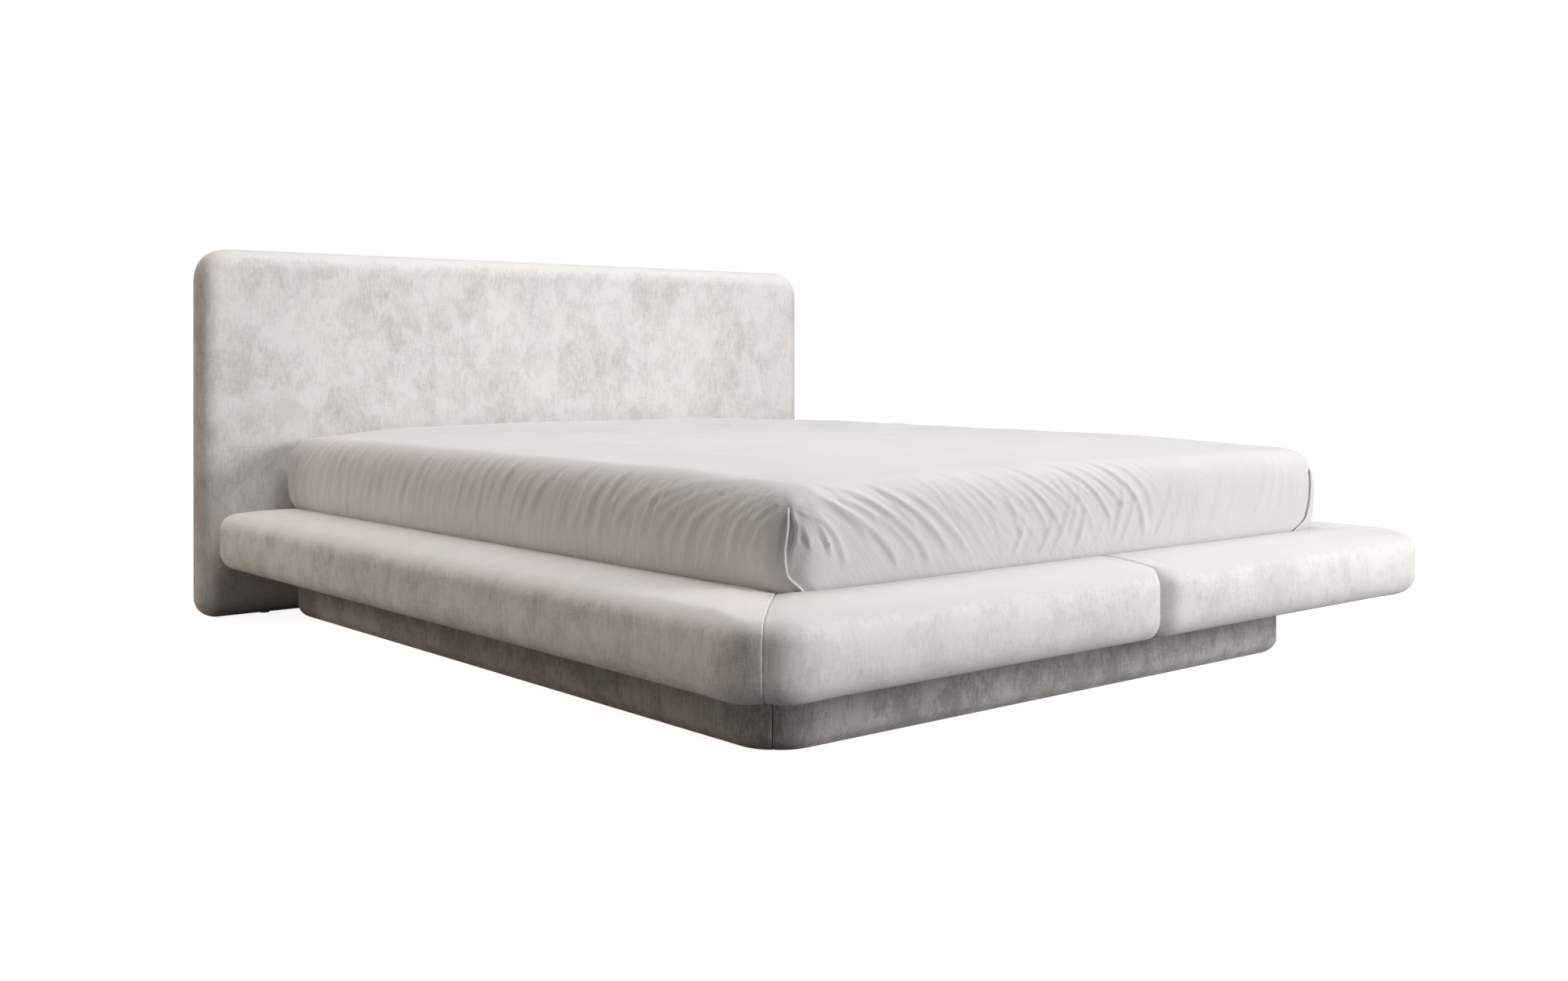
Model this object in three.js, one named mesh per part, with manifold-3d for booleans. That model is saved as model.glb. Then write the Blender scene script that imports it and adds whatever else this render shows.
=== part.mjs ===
// Upholstered platform bed with a padded headboard, a recessed plinth and a mattress in a fitted sheet.
// Sizes are in millimetres. X runs across the bed, Y from its foot to its headboard, and Z up.
// The origin is on the floor, in the middle of the bed's width and length.

import * as THREE from "three";
import { mergeVertices } from "three/addons/utils/BufferGeometryUtils.js";
import Module from "manifold-3d";

const wasm = await Module();
wasm.setup();

// Fits
const seatGap = 0.3;
const boltClearance = 0.4;
const cutOverrun = 30;

// Mattress and sheet
const mattressWidth = 1600;
const mattressLength = 2000;
const mattressThickness = 208;
const mattressCornerRadius = 82;
const mattressLowerRadius = 34;
const mattressUpperRadius = 54;
const mattressDraw = 11;
const mattressCrown = 12;
const crownRunShare = 0.85;
const sheetThickness = 1.6;
const sheetHemLift = 4;

// Platform
const sideRim = 177;
const footRim = 146;
const headSpace = 27;
const railWidth = 217;
const rimHeight = 134;
const rimCrown = 10;
const rimCrownRun = 110;
const seatDepth = 8;
const platformCornerRadius = 114;
const rimLowerRadius = 44;
const rimUpperRadius = 37;
const splitFaceRadius = 42;
const splitTopRadius = 10;
const railPadding = 22;
const railUnderPadding = 12;
const railTopPadding = 12;
const faceBoard = 15;
const innerBoard = 22;
const topBoard = 12;

// Mattress support
const slatCount = 11;
const slatWidth = 105;
const slatThickness = 18;
const ledgerWidth = 24;
const centreRailWidth = 45;
const bearerCount = 3;
const bearerWidth = 70;
const bearerHeight = 65;
const centreLegSide = 60;
const headRailThickness = 24;
const angleLeg = 70;
const angleThickness = 3;
const plateLength = 180;
const plateHeight = 80;
const plateThickness = 4;
const plateBoltSpacing = 110;

// Plinth
const plinthHeight = 136;
const plinthSetbackSide = 206;
const plinthSetbackFront = 222;
const plinthCornerRadius = 102;
const plinthLowerRadius = 28;
const plinthPadding = 14;
const plinthBoard = 18;
const plinthBoardLift = 20;
const coverLift = 2;

// Headboard
const headboardWidth = 1972;
const headboardHeight = 934;
const headboardThickness = 99;
const headboardEdgeRadius = 46;
const headboardTopRadius = 84;
const headboardFootRadius = 52;
const headboardPadding = 38;
const headboardFacing = 9;
const backPanelThickness = 12;
const backPanelInset = 60;
const frameStile = 70;
const frameEndRail = 70;
const frameMiddleRail = 110;
const glideRadius = 12;
const glideInset = 180;

// Bolts
const boltRadius = 4;
const boltHeadRadius = 9;
const boltHeadHeight = 5;
const boltGrip = 26;
const headboardBoltReachShares = [0.28, 0.8];

// Steps in the rounded surfaces
const cornerSteps = 7;
const edgeSteps = 5;
const sideSteps = 3;
const crownSteps = 3;
const boltSides = 12;
const glideSides = 20;

// Places that follow from the sizes
const platformHalfWidth = mattressWidth / 2 + sideRim;
const platformLength = footRim + mattressLength + headSpace;
const overallLength = platformLength + headboardThickness;
const platformFront = -overallLength / 2;
const headboardFront = platformFront + platformLength;
const platformRear = headboardFront - seatGap;
const headboardBack = overallLength / 2;
const mattressFoot = platformFront + footRim;
const mattressHead = mattressFoot + mattressLength;
const innerHalfWidth = platformHalfWidth - railWidth;
const innerFront = platformFront + railWidth;
const rimTop = plinthHeight + rimHeight;
const slatTop = rimTop - seatDepth;
const slatUnder = slatTop - slatThickness;
const mattressUnder = slatTop + seatGap;
const frameUnder = plinthHeight + railUnderPadding;
const frameTop = slatTop - railTopPadding;
const bearerTop = plinthHeight + bearerHeight;
const plinthTop = plinthHeight - seatGap;
const plinthHalfWidth = platformHalfWidth - plinthSetbackSide;
const plinthFront = platformFront + plinthSetbackFront;
const plinthInnerInset = plinthPadding + plinthBoard;
const headRailFront = platformRear - headRailThickness;
const facingFront = headboardFront + headboardPadding;
const headFrameFront = facingFront + headboardFacing + seatGap;
const backPanelFront = headboardBack - backPanelThickness;
const headFrameBack = backPanelFront - seatGap;
const headboardBoltHeight = (frameUnder + frameTop) / 2;
const headboardBoltPlaces = headboardBoltReachShares
  .flatMap((share) => [-share, share])
  .map((share, i) => ({ name: `headboard_bolt_${i + 1}`, x: share * innerHalfWidth, y: 0 }));
const mitreGap = seatGap * Math.SQRT2;

// Materials
const velvet = new THREE.MeshStandardMaterial({ color: 0xc9c5c0, roughness: 0.95, metalness: 0 });
const sheetCotton = new THREE.MeshStandardMaterial({ color: 0xdedad2, roughness: 0.9, metalness: 0 });
const ticking = new THREE.MeshStandardMaterial({ color: 0xeeece6, roughness: 0.9, metalness: 0 });
const pine = new THREE.MeshStandardMaterial({ color: 0xc9a877, roughness: 0.7, metalness: 0 });
const plywood = new THREE.MeshStandardMaterial({ color: 0xb99a6b, roughness: 0.75, metalness: 0 });
const backCloth = new THREE.MeshStandardMaterial({ color: 0x8f8b85, roughness: 0.95, metalness: 0 });
const steel = new THREE.MeshStandardMaterial({ color: 0x8e9093, roughness: 0.4, metalness: 1 });
const glidePlastic = new THREE.MeshStandardMaterial({ color: 0x2b2b2b, roughness: 0.6, metalness: 0 });

const bed = new THREE.Group();

function addAssembly() {
  const group = new THREE.Group();
  bed.add(group);
  return group;
}

// A closed geometry as a solid that can be cut and joined
function solidOf(geometry) {
  const bare = geometry.clone();
  bare.deleteAttribute("normal");
  bare.deleteAttribute("uv");
  const merged = mergeVertices(bare, seatGap / 1000);
  return new wasm.Manifold(
    new wasm.Mesh({
      numProp: 3,
      vertProperties: new Float32Array(merged.attributes.position.array),
      triVerts: new Uint32Array(merged.index.array),
    }),
  );
}

// A solid as a geometry with flat shading
function geometryOf(solid) {
  const mesh = solid.getMesh();
  const geometry = new THREE.BufferGeometry();
  geometry.setAttribute("position", new THREE.BufferAttribute(new Float32Array(mesh.vertProperties), 3));
  geometry.setIndex(new THREE.BufferAttribute(new Uint32Array(mesh.triVerts), 1));
  geometry.computeVertexNormals();
  return geometry;
}

function addPart(group, name, solid, material) {
  const mesh = new THREE.Mesh(geometryOf(solid), material);
  mesh.name = name;
  group.add(mesh);
  return mesh;
}

// A piece on the left of the bed and its mirror image on the right
function addPair(group, name, solid, material) {
  addPart(group, `${name}_left`, solid, material);
  addPart(group, `${name}_right`, solid, material).scale.set(-1, 1, 1);
}

// Equal pieces, each moved to its own place
function addCopies(group, solid, material, places) {
  for (const { name, x, y } of places) {
    addPart(group, name, solid, material).position.set(x, y, 0);
  }
}

// A block between two opposite corners
function block(low, high) {
  const geometry = new THREE.BoxGeometry(high.x - low.x, high.y - low.y, high.z - low.z);
  geometry.translate((low.x + high.x) / 2, (low.y + high.y) / 2, (low.z + high.z) / 2);
  return solidOf(geometry);
}

// An upright block that is centred on X
function centredBlock(halfWidth, front, rear, under, top) {
  const low = new THREE.Vector3(-halfWidth, front, under);
  const high = new THREE.Vector3(halfWidth, rear, top);
  return block(low, high);
}

// A plan outline carried up from one height to another
function prism(shape, under, top) {
  const settings = { depth: top - under, bevelEnabled: false, curveSegments: cornerSteps };
  const geometry = new THREE.ExtrudeGeometry(shape, settings);
  geometry.translate(0, 0, under);
  return solidOf(geometry);
}

// A round bar along Y
function rodAlongY(radius, x, z, front, rear, sides) {
  const geometry = new THREE.CylinderGeometry(radius, radius, rear - front, sides);
  geometry.translate(x, (front + rear) / 2, z);
  return solidOf(geometry);
}

function polygon(points) {
  const shape = new THREE.Shape();
  points.forEach(([x, y], i) => (i ? shape.lineTo(x, y) : shape.moveTo(x, y)));
  shape.closePath();
  return shape;
}

// A quarter of a circle as points, counter-clockwise from a starting angle
function quarterArc(x, y, radius, start) {
  return Array.from({ length: cornerSteps + 1 }, (_, step) => {
    const angle = start + (step / cornerSteps) * (Math.PI / 2);
    return [x + radius * Math.cos(angle), y + radius * Math.sin(angle)];
  });
}

// A rectangle with round corners, counter-clockwise from its lower left corner
function roundedOutline({ left, right, front, rear, frontRadius, rearRadius }) {
  return [
    ...quarterArc(left + frontRadius, front + frontRadius, frontRadius, Math.PI),
    ...quarterArc(right - frontRadius, front + frontRadius, frontRadius, 1.5 * Math.PI),
    ...quarterArc(right - rearRadius, rear - rearRadius, rearRadius, 0),
    ...quarterArc(left + rearRadius, rear - rearRadius, rearRadius, 0.5 * Math.PI),
  ];
}

// The same rectangle drawn in all round by an inset, with corners that keep at least a third of their radius
function insetOutline(outline, inset) {
  const shrunk = (radius) => Math.max(radius - inset, radius / 3);
  return roundedOutline({
    left: outline.left + inset,
    right: outline.right - inset,
    front: outline.front + inset,
    rear: outline.rear - inset,
    frontRadius: shrunk(outline.frontRadius),
    rearRadius: shrunk(outline.rearRadius),
  });
}

// A closed skin over outlines stacked from the underside to the top
function stackedGeometry(outline, profile) {
  const rings = profile.map(({ inset, z }) => ({ points: insetOutline(outline, inset), z }));
  const count = rings[0].points.length;
  const positions = rings.flatMap(({ points, z }) => points.flatMap(([x, y]) => [x, y, z]));
  const middle = [(outline.left + outline.right) / 2, (outline.front + outline.rear) / 2];
  positions.push(...middle, rings[0].z);
  positions.push(...middle, rings[rings.length - 1].z);
  const underCentre = rings.length * count;
  const topCentre = underCentre + 1;
  const faces = [];
  for (let point = 0; point < count; point += 1) {
    const next = (point + 1) % count;
    for (let ring = 0; ring + 1 < rings.length; ring += 1) {
      const low = ring * count;
      const high = low + count;
      faces.push(low + point, low + next, high + next);
      faces.push(low + point, high + next, high + point);
    }
    const last = (rings.length - 1) * count;
    faces.push(underCentre, next, point);
    faces.push(topCentre, last + point, last + next);
  }
  const geometry = new THREE.BufferGeometry();
  geometry.setAttribute("position", new THREE.BufferAttribute(new Float32Array(positions), 3));
  geometry.setIndex(faces);
  return geometry;
}

function stackedSolid(outline, profile) {
  return solidOf(stackedGeometry(outline, profile));
}

// Quarter-round edge of a profile: from the underside out to the side, or from the side in to the top
function lowerEdge(radius, under, draw) {
  return Array.from({ length: edgeSteps + 1 }, (_, step) => {
    const angle = (step / edgeSteps) * (Math.PI / 2);
    return { inset: draw + radius * (1 - Math.sin(angle)), z: under + radius * (1 - Math.cos(angle)) };
  });
}

function upperEdge(radius, top, draw) {
  return Array.from({ length: edgeSteps + 1 }, (_, step) => {
    const angle = (step / edgeSteps) * (Math.PI / 2);
    return { inset: draw + radius * (1 - Math.cos(angle)), z: top - radius * (1 - Math.sin(angle)) };
  });
}

// Rise of a soft top from its rounded edge inwards
function crownRings(startInset, run, startTop, rise) {
  return Array.from({ length: crownSteps }, (_, step) => {
    const share = (step + 1) / crownSteps;
    return { inset: startInset + run * share, z: startTop + rise * Math.sin((share * Math.PI) / 2) };
  });
}

// Mattress with a crowned top and sides drawn in at their edges, grown all round by a margin
function mattressSolid(margin) {
  const shoulder = mattressUnder + mattressThickness - mattressCrown;
  const sideUnder = mattressUnder + mattressLowerRadius;
  const sideTop = shoulder - mattressUpperRadius;
  const lower = lowerEdge(mattressLowerRadius + margin, mattressUnder - margin, mattressDraw);
  const side = Array.from({ length: sideSteps }, (_, step) => {
    const share = (step + 1) / (sideSteps + 1);
    const bulge = Math.sin(share * Math.PI);
    return { inset: mattressDraw * (1 - bulge), z: sideUnder + share * (sideTop - sideUnder) };
  });
  const upper = upperEdge(mattressUpperRadius + margin, shoulder + margin, mattressDraw);
  const shoulderInset = mattressDraw + mattressUpperRadius + margin;
  const crownRun = (mattressWidth / 2 - shoulderInset) * crownRunShare;
  const crown = crownRings(shoulderInset, crownRun, shoulder + margin, mattressCrown);
  const outline = {
    left: -mattressWidth / 2 - margin,
    right: mattressWidth / 2 + margin,
    front: mattressFoot - margin,
    rear: mattressHead + margin,
    frontRadius: mattressCornerRadius + margin,
    rearRadius: mattressCornerRadius + margin,
  };
  return stackedSolid(outline, [...lower, ...side, ...upper, ...crown]);
}

// Outline of the padded platform
const platformOutline = {
  left: -platformHalfWidth,
  right: platformHalfWidth,
  front: platformFront,
  rear: platformRear,
  frontRadius: platformCornerRadius,
  rearRadius: platformCornerRadius,
};

// Everything inside the padded platform's rails, open through the headboard end
function platformWell(growth, under, top) {
  return centredBlock(innerHalfWidth + growth, innerFront - growth, platformRear + cutOverrun, under, top);
}

// A ring under the rim, from an inset in the padded outline to the well, which may be grown
function railRing(inset, growth, under, top) {
  const slab = prism(polygon(insetOutline(platformOutline, inset)), under, top);
  return slab.subtract(platformWell(growth, under - cutOverrun, top + cutOverrun));
}

// Space of the left half of the foot rail and of the left side rail, which meet along the mitre
function mitreRegions() {
  const outer = platformHalfWidth + cutOverrun;
  const front = platformFront - cutOverrun;
  const reach = railWidth + cutOverrun;
  const innerX = platformHalfWidth - reach;
  const innerY = platformFront + reach;
  const rear = platformRear + cutOverrun;
  const under = plinthHeight - cutOverrun;
  const top = rimTop + rimCrown + cutOverrun;
  const foot = [
    [-outer, front - mitreGap],
    [-seatGap / 2, front - mitreGap],
    [-seatGap / 2, innerY - mitreGap],
    [-innerX, innerY - mitreGap],
  ];
  const side = [
    [-outer, front],
    [-innerX, innerY],
    [-innerX, rear],
    [-outer, rear],
  ];
  return { foot: prism(polygon(foot), under, top), side: prism(polygon(side), under, top) };
}

// Section of a groove cutter, whose two arcs round the ends that meet; the sign says which way is in
function grooveOutline(edge, depthSign, radius) {
  const reach = radius + seatGap / 2;
  const centre = edge + depthSign * radius;
  const shape = new THREE.Shape();
  const beyond = edge - depthSign * cutOverrun;
  const quarter = (Math.PI / 2) * depthSign;
  shape.moveTo(-reach, beyond);
  shape.lineTo(reach, beyond);
  shape.lineTo(reach, edge);
  shape.absarc(reach, centre, radius, -quarter, -quarter - quarter, depthSign > 0);
  shape.lineTo(-seatGap / 2, centre);
  shape.absarc(-reach, centre, radius, 0, -quarter, depthSign > 0);
  shape.closePath();
  return shape;
}

// Grooves in the front, top and underside where the two sections meet
function splitGrooves() {
  const top = rimTop + rimCrown;
  const frontOutline = grooveOutline(platformFront, 1, splitFaceRadius);
  const frontGroove = prism(frontOutline, plinthHeight - cutOverrun, top + cutOverrun);
  const length = railWidth + 2 * cutOverrun;
  const lay = (outline) => {
    const settings = { depth: length, bevelEnabled: false, curveSegments: cornerSteps };
    const geometry = new THREE.ExtrudeGeometry(outline, settings);
    geometry.rotateX(Math.PI / 2);
    geometry.translate(0, platformFront - cutOverrun + length, 0);
    return solidOf(geometry);
  };
  const topGroove = lay(grooveOutline(top, -1, splitTopRadius));
  return frontGroove.add(topGroove).add(lay(grooveOutline(plinthHeight, 1, splitTopRadius)));
}

// Padding and fabric of the platform in four lengths, each wrapped round its timber
function addPlatformPads(platform) {
  const rimProfile = [
    ...lowerEdge(rimLowerRadius, plinthHeight, 0),
    ...upperEdge(rimUpperRadius, rimTop, 0),
    ...crownRings(rimUpperRadius, rimCrownRun, rimTop, rimCrown),
  ];
  const spaceUnder = frameUnder - seatGap;
  const spaceTop = frameTop + seatGap;
  const endWall = centredBlock(railPadding, platformFront, innerFront, spaceUnder, spaceTop);
  const timberSpace = railRing(railPadding - seatGap, 0, spaceUnder, spaceTop).subtract(endWall);
  const padding = stackedSolid(platformOutline, rimProfile)
    .subtract(platformWell(0, plinthHeight - cutOverrun, rimTop + rimCrown + cutOverrun))
    .subtract(mattressSolid(sheetThickness + 2 * seatGap))
    .subtract(timberSpace)
    .subtract(splitGrooves());
  const regions = mitreRegions();
  addPair(platform, "foot_pad", padding.intersect(regions.foot), velvet);
  addPair(platform, "side_pad", padding.intersect(regions.side), velvet);
}

// Places of the two bolts that hold the joining plate
const plateBoltReach = plateBoltSpacing / 2;
const plateCentreZ = (frameUnder + frameTop) / 2;

function plateBoltHoles() {
  const front = innerFront - innerBoard - cutOverrun;
  const rear = innerFront + plateThickness + cutOverrun;
  const radius = boltRadius + boltClearance;
  const left = rodAlongY(radius, -plateBoltReach, plateCentreZ, front, rear, boltSides);
  return left.add(rodAlongY(radius, plateBoltReach, plateCentreZ, front, rear, boltSides));
}

// Timber channels inside the padding: a face board, an inner board and a top board glued up as one
function addRailFrames(platform) {
  const below = frameUnder - cutOverrun;
  const ring = railRing(railPadding, 0, frameUnder, frameTop);
  const hollow = railRing(railPadding + faceBoard, innerBoard, below, frameTop - topBoard);
  const endSpace = centredBlock(
    railPadding + seatGap,
    platformFront,
    innerFront + cutOverrun,
    below,
    frameTop + cutOverrun,
  );
  const timber = ring.subtract(hollow).subtract(endSpace).subtract(plateBoltHoles());
  const regions = mitreRegions();
  addPair(platform, "foot_frame", timber.intersect(regions.foot), plywood);
  addPair(platform, "side_frame", timber.intersect(regions.side), plywood);
}

// A round-headed bolt along Y at the middle of the bed's width, its head towards the foot
function boltAlongY(z, headFace, tip) {
  const head = rodAlongY(boltHeadRadius, 0, z, headFace - boltHeadHeight, headFace, boltSides);
  return head.add(rodAlongY(boltRadius, 0, z, headFace - boltHeadHeight / 2, tip, boltSides));
}

// Angle plates in the front corners, and the plate behind the groove with its bolts
function addSteelwork(platform) {
  const cornerX = seatGap - innerHalfWidth;
  const cornerY = innerFront + seatGap;
  const angle = polygon([
    [cornerX, cornerY],
    [cornerX + angleLeg, cornerY],
    [cornerX + angleLeg, cornerY + angleThickness],
    [cornerX + angleThickness, cornerY + angleThickness],
    [cornerX + angleThickness, cornerY + angleLeg],
    [cornerX, cornerY + angleLeg],
  ]);
  addPair(platform, "corner_angle", prism(angle, frameUnder, bearerTop), steel);

  const plateRear = innerFront + seatGap + plateThickness;
  const plate = centredBlock(
    plateLength / 2,
    innerFront + seatGap,
    plateRear,
    plateCentreZ - plateHeight / 2,
    plateCentreZ + plateHeight / 2,
  ).subtract(plateBoltHoles());
  addPart(platform, "foot_joining_plate", plate, steel);
  const bolt = boltAlongY(plateCentreZ, innerFront - innerBoard - seatGap, plateRear + boltHeadHeight);
  addCopies(platform, bolt, steel, [
    { name: "joining_bolt_left", x: -plateBoltReach, y: 0 },
    { name: "joining_bolt_right", x: plateBoltReach, y: 0 },
  ]);
}

// Evenly spaced places along a stretch of the bed, numbered from the foot
function placesAlong(name, count, front, rear) {
  const pitch = (rear - front) / count;
  return Array.from({ length: count }, (_, i) => {
    const number = String(i + 1).padStart(2, "0");
    return { name: `${name}_${number}`, x: 0, y: front + (i + 0.5) * pitch };
  });
}

// Ledgers, centre rail, bearers, leg and slats that carry the mattress
function addMattressSupport(support) {
  const front = innerFront + seatGap + plateThickness + seatGap;
  const rear = headRailFront - seatGap;
  const under = bearerTop + seatGap;
  const top = slatUnder - seatGap;
  const reach = innerHalfWidth - seatGap;

  const ledgerLow = new THREE.Vector3(-reach, innerFront + seatGap, under);
  const ledgerHigh = new THREE.Vector3(ledgerWidth - reach, rear, top);
  addPair(support, "ledger", block(ledgerLow, ledgerHigh), pine);
  addPart(support, "centre_rail", centredBlock(centreRailWidth / 2, front, rear, under, top), pine);

  const bearer = centredBlock(reach, -bearerWidth / 2, bearerWidth / 2, plinthHeight, bearerTop);
  const bearerPlaces = placesAlong("bearer", bearerCount, front, rear);
  addCopies(support, bearer, pine, bearerPlaces);
  const leg = centredBlock(centreLegSide / 2, -centreLegSide / 2, centreLegSide / 2, 0, plinthTop);
  const middleBearer = bearerPlaces[Math.floor(bearerCount / 2)];
  addCopies(support, leg, pine, [{ ...middleBearer, name: "centre_leg" }]);

  const slat = centredBlock(reach, -slatWidth / 2, slatWidth / 2, slatUnder, slatTop);
  addCopies(support, slat, pine, placesAlong("slat", slatCount, innerFront, rear));
}

// Bolts that run from the head rail into the headboard's middle rail
function headboardBoltHoles() {
  const front = headRailFront - cutOverrun;
  const rear = headFrameFront + boltGrip + boltClearance;
  const radius = boltRadius + boltClearance;
  const holes = headboardBoltPlaces.map(({ x }) => {
    return rodAlongY(radius, x, headboardBoltHeight, front, rear, boltSides);
  });
  return holes.reduce((joined, hole) => joined.add(hole));
}

function addHeadRail(headboard) {
  const reach = innerHalfWidth - seatGap;
  const headRail = centredBlock(reach, headRailFront, platformRear, frameUnder, frameTop);
  addPart(headboard, "head_rail", headRail.subtract(headboardBoltHoles()), pine);
  const bolt = boltAlongY(headboardBoltHeight, headRailFront - seatGap, headFrameFront + boltGrip);
  addCopies(headboard, bolt, steel, headboardBoltPlaces);
}

// A panel between the headboard's edges, drawn in all round by an inset
function headboardPanel(inset, front, back) {
  const half = headboardWidth / 2 - inset;
  return centredBlock(half, front, back, coverLift + inset, headboardHeight - inset);
}

// Headboard's padded cover, stacked from its back to its front and then stood up
function addHeadboardCover(headboard) {
  const outline = {
    left: -headboardWidth / 2,
    right: headboardWidth / 2,
    front: coverLift,
    rear: headboardHeight,
    frontRadius: headboardFootRadius,
    rearRadius: headboardTopRadius,
  };
  const profile = [
    ...lowerEdge(headboardEdgeRadius, -headboardBack, 0),
    ...upperEdge(headboardEdgeRadius, -headboardFront, 0),
  ];
  const stacked = stackedGeometry(outline, profile);
  stacked.rotateX(Math.PI / 2);
  const coreSpace = headboardPanel(headboardPadding - seatGap, facingFront - seatGap, backPanelFront);
  const panelSpace = headboardPanel(backPanelInset - seatGap, headFrameBack, headboardBack + cutOverrun);
  const cover = solidOf(stacked).subtract(coreSpace).subtract(panelSpace).subtract(headboardBoltHoles());
  addPart(headboard, "headboard_cover", cover, velvet);
}

// Headboard's plywood facing, timber frame, rear panel and floor glides
function addHeadboardFrame(headboard) {
  const facing = headboardPanel(headboardPadding, facingFront, facingFront + headboardFacing);
  addPart(headboard, "headboard_facing", facing.subtract(headboardBoltHoles()), plywood);
  const backPanel = headboardPanel(backPanelInset, backPanelFront, headboardBack);
  addPart(headboard, "headboard_back_panel", backPanel, backCloth);

  const half = headboardWidth / 2 - headboardPadding;
  const low = coverLift + headboardPadding;
  const high = headboardHeight - headboardPadding;
  const stileLow = new THREE.Vector3(-half, headFrameFront, low);
  const stileHigh = new THREE.Vector3(frameStile - half, headFrameBack, high);
  addPair(headboard, "headboard_stile", block(stileLow, stileHigh), pine);
  const railHalf = half - frameStile - seatGap;
  const rail = (under, top) => centredBlock(railHalf, headFrameFront, headFrameBack, under, top);
  const middleUnder = headboardBoltHeight - frameMiddleRail / 2;
  const middleRail = rail(middleUnder, middleUnder + frameMiddleRail).subtract(headboardBoltHoles());
  addPart(headboard, "headboard_rail_top", rail(high - frameEndRail, high), pine);
  addPart(headboard, "headboard_rail_middle", middleRail, pine);
  addPart(headboard, "headboard_rail_bottom", rail(low, low + frameEndRail), pine);

  const glideHeight = coverLift - seatGap;
  const glide = new THREE.CylinderGeometry(glideRadius, glideRadius, glideHeight, glideSides);
  glide.rotateX(Math.PI / 2);
  glide.translate(glideInset - headboardWidth / 2, (headboardFront + headboardBack) / 2, glideHeight / 2);
  addPair(headboard, "headboard_glide", solidOf(glide), glidePlastic);
}

// Outline of the padded plinth
const plinthOutline = {
  left: -plinthHalfWidth,
  right: plinthHalfWidth,
  front: plinthFront,
  rear: platformRear,
  frontRadius: plinthCornerRadius,
  rearRadius: plinthCornerRadius,
};

function plinthPrism(inset, under, top) {
  return prism(polygon(insetOutline(plinthOutline, inset)), under, top);
}

// Three padded covers, mitred at the middle of the round front corners; the side ones go round behind
function addPlinthCovers(plinth) {
  const below = -cutOverrun;
  const above = plinthHeight + cutOverrun;
  const profile = [...lowerEdge(plinthLowerRadius, coverLift, 0), { inset: 0, z: plinthTop }];
  const outer = plinthHalfWidth + cutOverrun;
  const skin = stackedSolid(plinthOutline, profile)
    .subtract(plinthPrism(plinthPadding - seatGap, plinthBoardLift - seatGap, above))
    .subtract(plinthPrism(plinthInnerInset, below, above));
  const front = plinthFront - cutOverrun;
  const innerX = plinthHalfWidth - plinthCornerRadius;
  const innerY = plinthFront + plinthCornerRadius;
  const frontRegion = polygon([
    [-outer, front - mitreGap],
    [outer, front - mitreGap],
    [innerX, innerY - mitreGap],
    [-innerX, innerY - mitreGap],
  ]);
  const sideRegion = polygon([
    [-outer, front],
    [-innerX, innerY],
    [-innerX, headboardFront],
    [-outer, headboardFront],
  ]);
  addPart(plinth, "plinth_cover_front", skin.intersect(prism(frontRegion, below, above)), velvet);
  addPair(plinth, "plinth_cover", skin.intersect(prism(sideRegion, below, above)), velvet);
}

// Part of a round corner post, as a quarter of a disc about the corner's own centre
function quarterPost(centreY, start, radius, under, top) {
  const centreX = plinthCornerRadius - plinthHalfWidth;
  const arc = quarterArc(centreX, centreY, radius, start);
  return prism(polygon([[centreX, centreY], ...arc]), under, top);
}

// A corner post that fills its cover above and stands on the floor inside it
function cornerPost(centreY, start) {
  const upperRadius = plinthCornerRadius - plinthPadding;
  const footRadius = plinthCornerRadius - plinthInnerInset - seatGap;
  const upper = quarterPost(centreY, start, upperRadius, plinthBoardLift, plinthTop);
  return upper.add(quarterPost(centreY, start, footRadius, 0, plinthTop));
}

// Boards under the covers, and the posts in the corners
function addPlinthTimber(plinth) {
  const frontCentre = plinthFront + plinthCornerRadius;
  const rearCentre = platformRear - plinthCornerRadius;
  const half = plinthHalfWidth - plinthCornerRadius - seatGap;
  const board = (front) => centredBlock(half, front, front + plinthBoard, plinthBoardLift, plinthTop);
  addPart(plinth, "plinth_board_front", board(plinthFront + plinthPadding), plywood);
  addPart(plinth, "plinth_board_rear", board(platformRear - plinthInnerInset), plywood);

  const faceX = plinthHalfWidth - plinthPadding;
  const sideLow = new THREE.Vector3(-faceX, frontCentre + seatGap, plinthBoardLift);
  const sideHigh = new THREE.Vector3(plinthBoard - faceX, rearCentre - seatGap, plinthTop);
  addPair(plinth, "plinth_board", block(sideLow, sideHigh), plywood);
  addPair(plinth, "plinth_post_front", cornerPost(frontCentre, Math.PI), pine);
  addPair(plinth, "plinth_post_rear", cornerPost(rearCentre, Math.PI / 2), pine);
}

// Mattress, and the sheet that wraps it down to its hem
function addMattress(bedding) {
  addPart(bedding, "mattress", mattressSolid(0), ticking);
  const hem = mattressUnder + sheetHemLift;
  const below = centredBlock(platformHalfWidth, platformFront, headboardFront, 0, hem);
  const outer = mattressSolid(seatGap + sheetThickness);
  const sheet = outer.subtract(mattressSolid(seatGap)).subtract(below);
  addPart(bedding, "fitted_sheet", sheet, sheetCotton);
}

const headboard = addAssembly();
addHeadboardCover(headboard);
addHeadboardFrame(headboard);
addHeadRail(headboard);

const platform = addAssembly();
addPlatformPads(platform);
addRailFrames(platform);
addSteelwork(platform);

addMattressSupport(addAssembly());

const plinth = addAssembly();
addPlinthCovers(plinth);
addPlinthTimber(plinth);

addMattress(addAssembly());

export default bed;
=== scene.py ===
import math

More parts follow.
